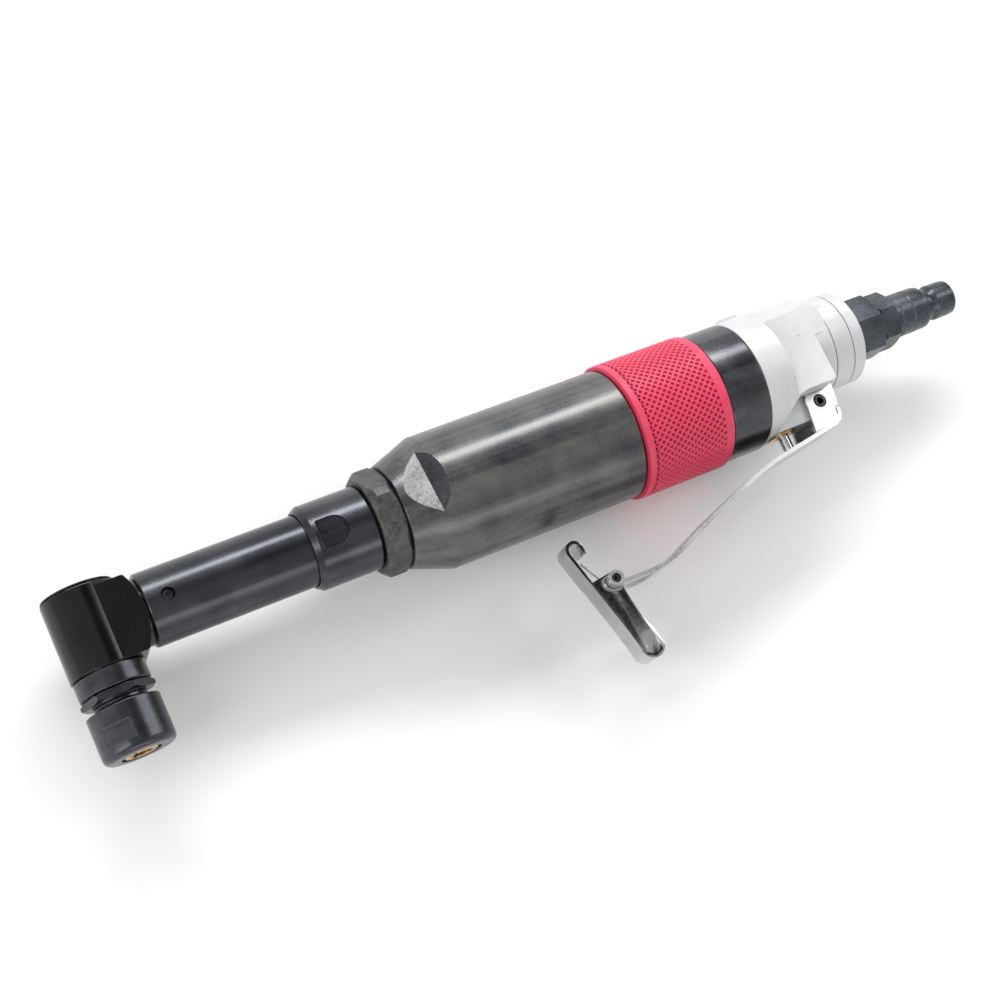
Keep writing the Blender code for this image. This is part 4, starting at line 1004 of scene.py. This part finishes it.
class GRINDER_OT_neck(bpy.types.Operator):
    """Build the neck tube, its set screw, the clamping sleeve and the jam nut"""

    bl_idname = "grinder.neck"
    bl_label = "Neck"

    def execute(self, context):
        skin = finishes()
        size = sizes()
        radius = size["neck_radius"]
        tube = turned(
            "tube", [(15.4, 8.7), (15.4, radius, 0.7), (79.6, radius, 0.3), (79.6, 8.7)], MAIN
        )
        cut(tube, rod("screw_hole", 2.1, 0.0, 15.0, TOOL, (SCREW_X, 0.0), 40))
        ease(tube, 0.18, 35, 2)
        finish(tube, "neck_barrel", "body", skin["oxide"], ["neck_tube"])
        screw = turned(
            "screw", [(7.3, 0.0), (7.3, 1.2), (8.8, 1.2), (8.8, 1.75), (10.0, 1.75, 0.25), (10.0, 0.0)],
            placed(SCREW_X), 40,
        )
        cut(screw, rod("socket", 0.9, 9.1, 11.0, placed(SCREW_X), sides=6))
        finish(screw, "neck_lock_screw", "body", skin["oxide"], ["neck_set_screw"])
        outer = size["sleeve_radius"]
        sleeve = turned(
            "sleeve",
            [(65.2, 11.4), (65.2, outer - 1.2, 0.15), (67.0, outer, 0.8), (85.2, outer, 0.5), (85.2, 11.2),
             (108.0, 11.2), (108.0, 8.7), (79.9, 8.7), (79.9, 11.4)],
            MAIN,
        )
        for side in (-1, 1):
            outline = [(68.2, -4.6, 0.8)] + arc((72.9, 0.0), 4.6, -90, 90, 20) + [(68.2, 4.6, 0.8)]
            low, high = sorted((side * 12.2, side * 16.0))
            cut(sleeve, slab("flat", outline, low, high))
        ease(sleeve, 0.14, 22, 2)
        finish(sleeve, "clamping_sleeve", "body", skin["oxide"], ["neck_sleeve"])
        nut = turned(
            "nut",
            [(86.9, 11.5), (85.7, 13.2, 0.2), (85.6, 14.7, 0.3), (87.6, 16.6, 0.2), (91.9, 16.6, 0.2),
             (93.3, 15.2), (93.3, 11.5)],
            MAIN,
        )
        common(nut, hexagon(size["jam_flats"], 80.0, 100.0, MAIN, 11.5))
        ease(nut, 0.22, 14, 3)
        finish(nut, "lock_nut", "body", skin["phosphate"], ["jam_nut"])
        return {"FINISHED"}


class GRINDER_OT_motor_shell(bpy.types.Operator):
    """Build the motor housing with its spanner notches, and the dark band behind the grip"""

    bl_idname = "grinder.motor_shell"
    bl_label = "Motor shell"

    def execute(self, context):
        skin = finishes()
        radius = sizes()["barrel_radius"]
        shell = turned(
            "shell",
            [(93.7, 11.5), (93.7, 16.3, 0.4), (106.8, radius, 1.0), (140.0, radius), (170.9, radius, 0.6),
             (170.9, 19.6), (203.0, 19.6), (203.0, 17.6), (112.0, 17.6), (112.0, 10.0), (108.4, 10.0),
             (108.4, 11.5)],
            MAIN,
        )
        across_notches = TOOL @ Matrix.Rotation(-radians(8.6), 4, "X") @ ALONG_SPINDLE
        flat = 17.05
        for side in (-1, 1):
            outline = [(90.0, side * flat), (103.8, side * flat), (108.5, side * 21.2), (108.5, side * 27.0),
                       (90.0, side * 27.0)]
            cut(shell, slab("notch", outline, -14.0, 14.0, across_notches))
        ease(shell, 0.12, 20, 2)
        finish(shell, "motor_shell", "body", skin["blued"], ["motor_housing"])
        shell.data.materials.append(skin["notch"])
        shell.data.materials.append(skin["band"])
        for face in shell.data.polygons:
            along = (face.center - ORIGIN).x / MM
            slope = abs(face.normal.x)
            if face.area <= 4 * MM * MM:
                continue
            if 93.0 < along < 104.2 and slope < 0.02:
                face.material_index = 1
            # painted shade: the notches' steep ramp faces get the dark band steel, darker than the notch
            # floor, standing in for the shade on them
            elif 104.2 < along < 108.6 and slope > 0.3:
                face.material_index = 2
        band = turned(
            "band",
            [(203.4, 17.6), (203.4, 21.3, 0.4), (217.1, 21.3, 0.4), (217.1, 17.6)],
            MAIN,
        )
        finish(band, "dark_band", "body", skin["band"], ["clamp_ring"])
        return {"FINISHED"}


class GRINDER_OT_knurled_grip(bpy.types.Operator):
    """Build the red grip: its lips and core, and the net of ridges between them"""

    bl_idname = "grinder.knurled_grip"
    bl_label = "Knurled grip"

    def execute(self, context):
        skin = finishes()
        size = sizes()
        outer = size["grip_radius"]
        front, rear = 174.7, 199.4
        core = turned(
            "core",
            [(171.2, 19.9), (171.2, outer - 1.0, 0.4), (171.9, outer - 0.15, 0.35), (173.9, outer, 0.35),
             (174.2, outer - 0.75, 0.15), (front + 0.35, outer - 0.8), (front + 0.5, outer - 1.0),
             (rear + 0.3, outer - 1.0), (rear + 0.35, outer - 0.05, 0.12), (202.4, outer - 0.12, 0.4),
             (203.0, outer - 0.6, 0.3), (203.0, 19.9)],
            MAIN,
        )
        finish(core, "grip_core", "body", skin["grip"], ["grip_sleeve"])
        rows = int((rear - front) / size["knurl_pitch"]) + 1
        net = grown(
            "net", shared_group("knurl_net", knurl_tree),
            {
                "Columns": int(size["knurl_columns"]), "Rows": rows, "Pitch": size["knurl_pitch"] * MM,
                "Radius": (outer - 0.08) * MM, "Depth": size["knurl_depth"] * MM,
                "Pit share": size["knurl_share"], "Material": skin["grip"],
            },
            MAIN @ Matrix.Translation((0.0, 0.0, front * MM)),
        )
        finish(net, "grip_knurl", "body", skin["grip"], angle=20)
        return {"FINISHED"}


class GRINDER_OT_rear_casting(bpy.types.Operator):
    """Build the cast rear housing with its flats, waist, lever lug and passages"""

    bl_idname = "grinder.rear_casting"
    bl_label = "Rear casting"

    def execute(self, context):
        skin = finishes()
        size = sizes()
        casting = turned(
            "casting",
            [(196.8, 0.0), (196.8, 17.3), (217.4, 17.3), (217.4, 21.3, 0.3), (243.9, 21.3, 3.0),
             (247.6, 20.6, 2.0), (249.0, 19.4, 0.4), (249.0, 0.0)],
            MAIN,
        )
        boss = [(220.8, 12.0), (220.8, 22.0, 0.5), (228.0, 22.0, 0.5), (228.0, 12.0)]
        join(casting, slab("boss", boss, -4.0, 4.0))
        for side in (-1, 1):
            outline = [(227.9, side * 30.0), (227.9, side * 16.7, 0.6), (237.0, side * 16.7, 60.0),
                       (247.5, side * 15.62, 50.0), (263.0, side * 15.62), (263.0, side * 30.0)]
            cut(casting, slab("side", outline, -31.0, 31.0, TOOL @ ALONG_SPINDLE))
        cut(casting, block("below", (243.5, -31.0, -31.0), (263.0, INLET_RISE, 31.0)))
        collar = turned(
            "collar",
            [(236.0, 0.0), (236.0, 15.65), (249.0, 15.65, 0.25), (249.0, 10.6), (258.6, 10.6), (258.6, 0.0)],
            INLET,
        )
        join(casting, collar)
        cut(casting, block("lever_flat", (217.2, -30.0, -30.0), (262.0, -20.0, 30.0)))
        lug_half = size["lever_half"] - size["sheet"] - 0.3
        pocket = [(219.6, -21.4), (224.4, -16.3), (228.7, -12.9), (232.0, -12.2), (262.0, -12.2),
                  (262.0, -30.0), (219.6, -30.0)]
        room = [(230.6, -16.4)] + arc((PIVOT[0], -PIVOT[1]), 6.7, 172, 35, 20)
        room += [(246.5, -30.0), (230.6, -30.0)]
        for side in (-1, 1):
            low = lug_half if side > 0 else -30.0
            cut(casting, slab("pocket", pocket, low, low + 30.0 - lug_half))
            low, high = sorted((side * lug_half, side * (size["lever_half"] + 0.6)))
            cut(casting, slab("cheek_room", room, low, high))
        cut(casting, block("lug_rear", (PIVOT[0] + 3.3, -32.0, -20.0), (264.0, INLET_RISE - 15.65, 20.0)))
        cut(casting, rod("pin_hole", 2.25, -20.0, 20.0, LEVER_PIVOT))
        cut(casting, rod("chamber", 4.9, 3.0, 24.0, VALVE))
        cut(casting, rod("inlet_bore", 8.0, 246.0, 262.0, INLET))
        cut(casting, rod("inlet_passage", 4.0, 222.0, 250.0, INLET))
        boss_axis = placed(227.4, 30.0, 0.0) @ ALONG_SPINDLE
        cut(casting, rod("boss_hole", 0.55, 10.0, 21.0, boss_axis, sides=20))
        ease(casting, 0.45, 20, 3)
        finish(casting, "rear_casting", "body", skin["cast"], ["valve_housing"])
        return {"FINISHED"}


class GRINDER_OT_exhaust_and_cap(bpy.types.Operator):
    """Build the turning exhaust ring with its vents, and the rear cap"""

    bl_idname = "grinder.exhaust_and_cap"
    bl_label = "Exhaust ring and cap"

    def execute(self, context):
        skin = finishes()
        ring = turned(
            "ring", [(249.3, 13.4), (249.3, 15.65, 0.22), (255.9, 15.65, 0.22), (255.9, 13.4)], INLET
        )
        at_middle = Matrix.Translation((0.0, 0.0, 252.6 * MM))
        for i in range(4):
            outward = Matrix.Rotation(radians(-60 + 40 * i), 4, "Z") @ at_middle @ ALONG_X
            cut(ring, rod("vent", 1.1, 11.0, 18.0, INLET @ outward, sides=28))
        ease(ring, 0.1, 40, 2)
        finish(ring, "vent_ring", "exhaust_body", skin["cast"], ["exhaust_ring"])
        cap = turned(
            "cap",
            [(256.2, 10.9), (256.2, 15.65, 0.22), (260.3, 15.65, 0.8), (261.4, 14.2, 0.5), (261.4, 9.2, 0.2),
             (259.2, 9.2), (259.2, 10.9)],
            INLET,
        )
        finish(cap, "tail_cap", "body", skin["cast"], ["rear_cap"])
        return {"FINISHED"}


class GRINDER_OT_air_inlet(bpy.types.Operator):
    """Build the hexagonal inlet bush and the quick plug"""

    bl_idname = "grinder.air_inlet"
    bl_label = "Air inlet"

    def execute(self, context):
        skin = finishes()
        bush = turned(
            "bush",
            [(250.0, 5.2), (250.0, 7.7), (261.8, 7.7), (261.8, 10.6), (262.3, 11.0), (272.5, 11.0),
             (273.4, 9.9), (273.4, 5.2)],
            INLET,
        )
        common(bush, hexagon(19.0, 246.8, 277.4, INLET, 30.0))
        ease(bush, 0.16, 20, 2)
        finish(bush, "inlet_bush", "body", skin["fitting"], ["inlet_bushing"])
        plug = turned(
            "plug",
            [(262.5, 3.6), (262.5, 4.9), (273.8, 4.9), (273.8, 8.6), (274.6, 9.8), (279.8, 9.8),
             (280.6, 8.7, 0.2), (280.6, 7.3), (282.4, 7.3, 0.15), (282.7, 7.0), (283.1, 7.0),
             (283.4, 7.3, 0.15), (287.2, 7.3, 0.15), (287.5, 7.0), (287.9, 7.0), (288.2, 7.25, 0.15),
             (292.6, 7.2, 0.5), (294.2, 7.0, 0.4), (295.4, 5.4, 0.6), (297.4, 5.0, 0.8), (298.8, 6.0, 0.6),
             (303.6, 6.0, 0.5), (305.8, 5.8, 0.3), (306.2, 5.4, 0.2), (306.2, 3.6, 0.25)],
            INLET,
        )
        common(plug, hexagon(17.0, 255.0, 310.0, INLET, 22.0))
        ease(plug, 0.14, 20, 2)
        finish(plug, "quick_plug", "body", skin["fitting"], ["air_plug"])
        return {"FINISHED"}


class GRINDER_OT_throttle_valve(bpy.types.Operator):
    """Build the brass stem guide, the push stem and the valve's return spring"""

    bl_idname = "grinder.throttle_valve"
    bl_label = "Throttle valve"

    def execute(self, context):
        skin = finishes()
        guide = turned(
            "guide", [(16.4, 2.1), (16.4, 4.4), (20.6, 4.4, 0.3), (20.6, 2.1, 0.25)], VALVE, 72
        )
        finish(guide, "stem_guide", "body", skin["brass"], ["valve_bushing"])
        stem = turned(
            "stem",
            [(12.4, 0.0), (12.4, 1.2, 0.2), (13.4, 1.2), (13.4, 3.6, 0.2), (15.2, 3.6, 0.2), (15.2, 1.8),
             (25.7, 1.8, 0.5), (25.7, 0.0)],
            VALVE, 64,
        )
        finish(stem, "push_stem", "valve_body", skin["steel"], ["valve_stem"])
        spring = grown(
            "coil", shared_group("wound_wire", coil_tree),
            {"Turns": 4.0, "Coil radius": 2.9 * MM, "Height": 6.4 * MM, "Wire radius": 0.45 * MM,
             "Material": skin["steel"]},
            VALVE @ Matrix.Translation((0.0, 0.0, 6.6 * MM)),
        )
        finish(spring, "return_spring", "valve_body", skin["steel"], ["valve_spring"])
        return {"FINISHED"}


class GRINDER_OT_squeeze_lever(bpy.types.Operator):
    """Build the pressed throttle lever with its rolled eyes and cheeks, and its hinge pins"""

    bl_idname = "grinder.squeeze_lever"
    bl_label = "Squeeze lever"

    def execute(self, context):
        skin = finishes()
        size = sizes()
        half, sheet = size["lever_half"], size["sheet"]
        line = smooth_path(
            [(EYE[0], -(EYE[1] + 2.45 - sheet / 2)), (153.0, -45.35), (158.0, -45.4), (163.0, -45.2),
             (167.0, -44.6), (172.5, -42.9), (180.0, -39.9), (188.6, -36.5), (200.7, -32.4), (209.1, -29.8),
             (217.4, -27.8), (229.7, -25.9), (240.4, -24.2)]
        ) + [(242.6, -23.3), (243.5, -21.6), (243.9, -19.6)]
        lever = slab("blade", sheet_outline(line, sheet), -half, half)
        join(lever, slab("eye", arc((EYE[0], -EYE[1]), 2.45, 0, 354, 59), -half, half))
        cheek = (
            [(232.6, -24.6), (233.9, -16.4)]
            + arc((PIVOT[0], -PIVOT[1]), 5.1, 190, 75, 20)
            + [(245.6, -11.2, 0.8), (245.2, -14.2), (244.3, -18.9), (242.9, -18.9), (242.4, -23.4)]
        )
        for side in (-1, 1):
            low = half - sheet if side > 0 else -half
            join(lever, slab("cheek", cheek, low, low + sheet))
        cut(lever, rod("eye_bore", 1.45, -12.0, 12.0, LOCK_PIVOT))
        cut(lever, rod("cheek_bore", 2.25, -12.0, 12.0, LEVER_PIVOT))
        cut(lever, block("fork", (EYE[0] - 5.0, -50.0, -4.8), (161.5, -38.0, 4.8)))
        ease(lever, 0.22, 30, 3)
        finish(
            lever, "pressed_lever", "throttle_body", skin["nickel"], ["throttle_lever"],
            pressed=True,
        )
        tube = [(-8.0, 1.1), (-8.0, 1.95, 0.25), (8.0, 1.95, 0.25), (8.0, 1.1, 0.2)]
        pin = turned("pin", tube, LEVER_PIVOT, 56)
        finish(pin, "lever_hinge_pin", "body", skin["oxide"], ["lever_pin"])
        thin_tube = [(-7.5, 0.6), (-7.5, 1.15, 0.2), (7.5, 1.15, 0.2), (7.5, 0.6, 0.1)]
        fork_pin = turned("pin", thin_tube, LOCK_PIVOT, 40)
        finish(fork_pin, "fork_pin", "throttle_body", skin["oxide"], ["lock_pin"])
        return {"FINISHED"}


class GRINDER_OT_safety_lever(bpy.types.Operator):
    """Build the folding lock-off lever with its hooked nose, and its torsion spring"""

    bl_idname = "grinder.safety_lever"
    bl_label = "Safety lever"

    def execute(self, context):
        skin = finishes()
        half, sheet = 4.4, 1.1
        tail = (150.9, 66.0)
        bottom = arc(tail, 3.9, 168, 10, 24)
        rim = [(154.6, 66.0), (153.6, 61.0), (151.9, 56.6), (150.9, 49.8), (150.6, 45.4)]
        boss = arc(EYE, 2.7, 0, -110, 12)
        wall = [(141.2, 41.7), (145.3, 57.7), (147.0, 65.2)] + bottom + rim + boss
        lever = slab("wall", other_side(wall), -half, half)
        hook = [(141.6, 41.7), (138.75, 30.8)] + arc((141.2, 30.4), 2.45, 170, 360, 24) + [(143.65, 32.6)]
        join(lever, slab("hook", sheet_outline(other_side(hook), sheet), -half, half))
        hollow = (
            [(142.3, 34.0), (142.3, 41.4), (146.4, 57.4), (148.1, 65.0)]
            + arc(tail, 2.8, 168, 60, 12)
            + [(165.0, 67.0), (165.0, 34.0)]
        )
        cut(lever, slab("hollow", other_side(hollow), -half + sheet, half - sheet))
        dish = [(147.6, 58.0), (149.4, 65.8)] + arc(tail, 2.5, 150, 10, 12) + [(152.6, 61.4), (151.4, 58.0)]
        middle = (150.5, -62.5)
        back = Matrix.Translation(Vector((-middle[0], -middle[1], 0.0)) * MM)
        for side in (-1, 1):
            tip = placed(*middle, side * (half + 0.35)) @ Matrix.Rotation(radians(7 * side), 4, "X") @ back
            low, high = sorted((-side * 0.5, side * 3.0))
            cut(lever, slab("dish", other_side(dish), low, high, tip))
        cut(lever, rod("bore", 1.45, -12.0, 12.0, LOCK_PIVOT))
        ease(lever, 0.32, 30, 4)
        finish(
            lever, "folding_lever", "lock_body", skin["chrome"], ["lock_lever"], pressed=True
        )
        points = [(-6.5, 8.8, 2.0)]
        per_turn = 24
        steps = 3 * per_turn - 4
        for i in range(steps + 1):
            angle = radians(165 - 360 * i / per_turn)
            points.append((1.95 * cos(angle), 1.95 * sin(angle), 2.0 - 4.0 * i / steps))
        points.append((5.6, -0.9, -2.0))
        spring = wire("spring", points, 0.4, LOCK_PIVOT)
        finish(spring, "torsion_spring", "lock_body", skin["steel"], ["lock_spring"])
        return {"FINISHED"}


FLOOR_HALF = 3.0
DARK_SPOT = (0.350, 0.187, 0.918)  # towards the room's one dark spot, which bright metal mirrors
SOFTBOXES = (  # name, place, point that it faces, width, height, share of the key light's power
    ("far_softbox", (0.05, 0.80, 0.62), (0.0, 0.0, 0.0), 1.2, 0.22, 1.8),
    ("near_softbox", (-0.1, -0.95, 0.55), (0.0, 0.0, 0.0), 1.2, 0.3, 0.45),
    ("left_softbox", (-0.85, -0.1, 0.6), (-0.05, 0.0, 0.0), 0.3, 0.8, 0.45),
    ("right_softbox", (0.9, 0.2, 0.7), (0.0, 0.0, 0.0), 0.3, 0.8, 0.45),
)
CAMERA_PLACE = (-63.3, -108.7, 501.1)  # in millimetres in the tool frame
CAMERA_RIGHT = (0.8746, -0.4162, 0.2488)
CAMERA_UP = (0.3356, 0.8899, 0.3090)
CAMERA_BACK = (-0.3500, -0.1868, 0.9179)


class GRINDER_OT_studio(bpy.types.Operator):
    """Set the pale floor, the soft lights and the camera"""

    bl_idname = "grinder.studio"
    bl_label = "Studio"

    def execute(self, context):
        held = context.scene.grinder_studio
        shape = bmesh.new()
        bmesh.ops.create_grid(shape, x_segments=1, y_segments=1, size=FLOOR_HALF)
        floor = add_mesh("floor", shape)
        if floor.data.polygons[0].normal.z < 0:
            floor.data.flip_normals()
        made, tree, shader = surface("pale_floor")
        tone = ramp(tree, noise(tree, object_place(tree), 3.0), 0.0, 1.0, 0.0, 0.03)
        colour = mix_colour(tree, tone, held.floor, [part * 0.97 for part in held.floor])
        tree.links.new(colour, shader.inputs["Base Color"])
        shader.inputs["Roughness"].default_value = 0.8
        shader.inputs["Specular IOR Level"].default_value = 0.1
        floor.data.materials.append(made)
        floor.location.z = -0.5 * MM
        world = bpy.data.worlds.new("soft_room")
        context.scene.world = world
        world.use_nodes = True
        tree = world.node_tree
        room = tree.nodes["Background"]
        toward = add_node(tree, "ShaderNodeTexCoord").outputs["Generated"]
        up = add_node(tree, "ShaderNodeSeparateXYZ", {0: toward}).outputs[2]
        high = ramp(tree, up, 0.1, 0.95, 1.0, 0.62, interpolation_type="SMOOTHSTEP")
        near = add_node(tree, "ShaderNodeVectorMath", {0: toward, 1: DARK_SPOT}, operation="DOT_PRODUCT")
        dark = ramp(tree, near.outputs["Value"], 0.965, 0.99, 1.0, 0.03, interpolation_type="SMOOTHSTEP")
        level = calc(tree, "MULTIPLY", high, dark)
        tree.links.new(mix_colour(tree, level, (0.0, 0.0, 0.0), (1.0, 1.0, 1.0)), room.inputs["Color"])
        room.inputs["Strength"].default_value = held.sky
        for name, spot, aim, width, height, power in SOFTBOXES:
            light = bpy.data.lights.new(name, "AREA")
            light.shape = "RECTANGLE"
            light.size = width
            light.size_y = height
            light.energy = held.key * power
            lamp = bpy.data.objects.new(name, light)
            lamp.location = spot
            lamp.rotation_euler = (Vector(aim) - Vector(spot)).to_track_quat("-Z", "Y").to_euler()
            context.scene.collection.objects.link(lamp)
        lens = bpy.data.cameras.new("camera")
        lens.lens = held.lens
        lens.sensor_width = 36.0
        lens.clip_start = 0.01
        lens.clip_end = 20.0
        camera = bpy.data.objects.new("camera", lens)
        turn = Matrix((CAMERA_RIGHT, CAMERA_UP, CAMERA_BACK)).transposed().to_4x4()
        camera.matrix_world = placed(*CAMERA_PLACE) @ turn
        context.scene.collection.objects.link(camera)
        context.scene.camera = camera
        context.scene.view_settings.view_transform = "Standard"
        return {"FINISHED"}


PIECES = (
    GRINDER_OT_frame_surfaces,
    GRINDER_OT_angle_head,
    GRINDER_OT_spindle_and_collet,
    GRINDER_OT_neck,
    GRINDER_OT_motor_shell,
    GRINDER_OT_knurled_grip,
    GRINDER_OT_rear_casting,
    GRINDER_OT_exhaust_and_cap,
    GRINDER_OT_air_inlet,
    GRINDER_OT_throttle_valve,
    GRINDER_OT_squeeze_lever,
    GRINDER_OT_safety_lever,
    GRINDER_OT_studio,
)


SETTINGS = (
    ("grinder_sizes", GrinderSizes),
    ("grinder_finishes", GrinderFinishes),
    ("grinder_studio", GrinderStudio),
)


class GRINDER_PT_pieces(bpy.types.Panel):
    """The grinder's settings and the buttons that build its pieces"""

    bl_idname = "GRINDER_PT_pieces"
    bl_label = "Angle die grinder"
    bl_space_type = "VIEW_3D"
    bl_region_type = "UI"
    bl_category = "Grinder"

    def draw(self, context):
        layout = self.layout
        for name, kind in SETTINGS:
            box = layout.box()
            for key in kind.__annotations__:
                box.prop(getattr(context.scene, name), key)
        for piece in PIECES:
            layout.operator(piece.bl_idname)


def register():
    for kind in [kind for _, kind in SETTINGS] + list(PIECES) + [GRINDER_PT_pieces]:
        bpy.utils.register_class(kind)
    for key, kind in SETTINGS:
        setattr(bpy.types.Scene, key, bpy.props.PointerProperty(type=kind))


def unregister():
    for key, _ in SETTINGS:
        delattr(bpy.types.Scene, key)
    for kind in [GRINDER_PT_pieces] + list(reversed(PIECES)) + [kind for _, kind in reversed(SETTINGS)]:
        bpy.utils.unregister_class(kind)


def main():
    register()
    for old in ("Cube", "Light", "Camera"):
        if old in bpy.data.objects:
            bpy.data.objects.remove(bpy.data.objects[old])
    for piece in PIECES:
        group, action = piece.bl_idname.split(".")
        getattr(getattr(bpy.ops, group), action)()


if __name__ == "__main__":
    main()
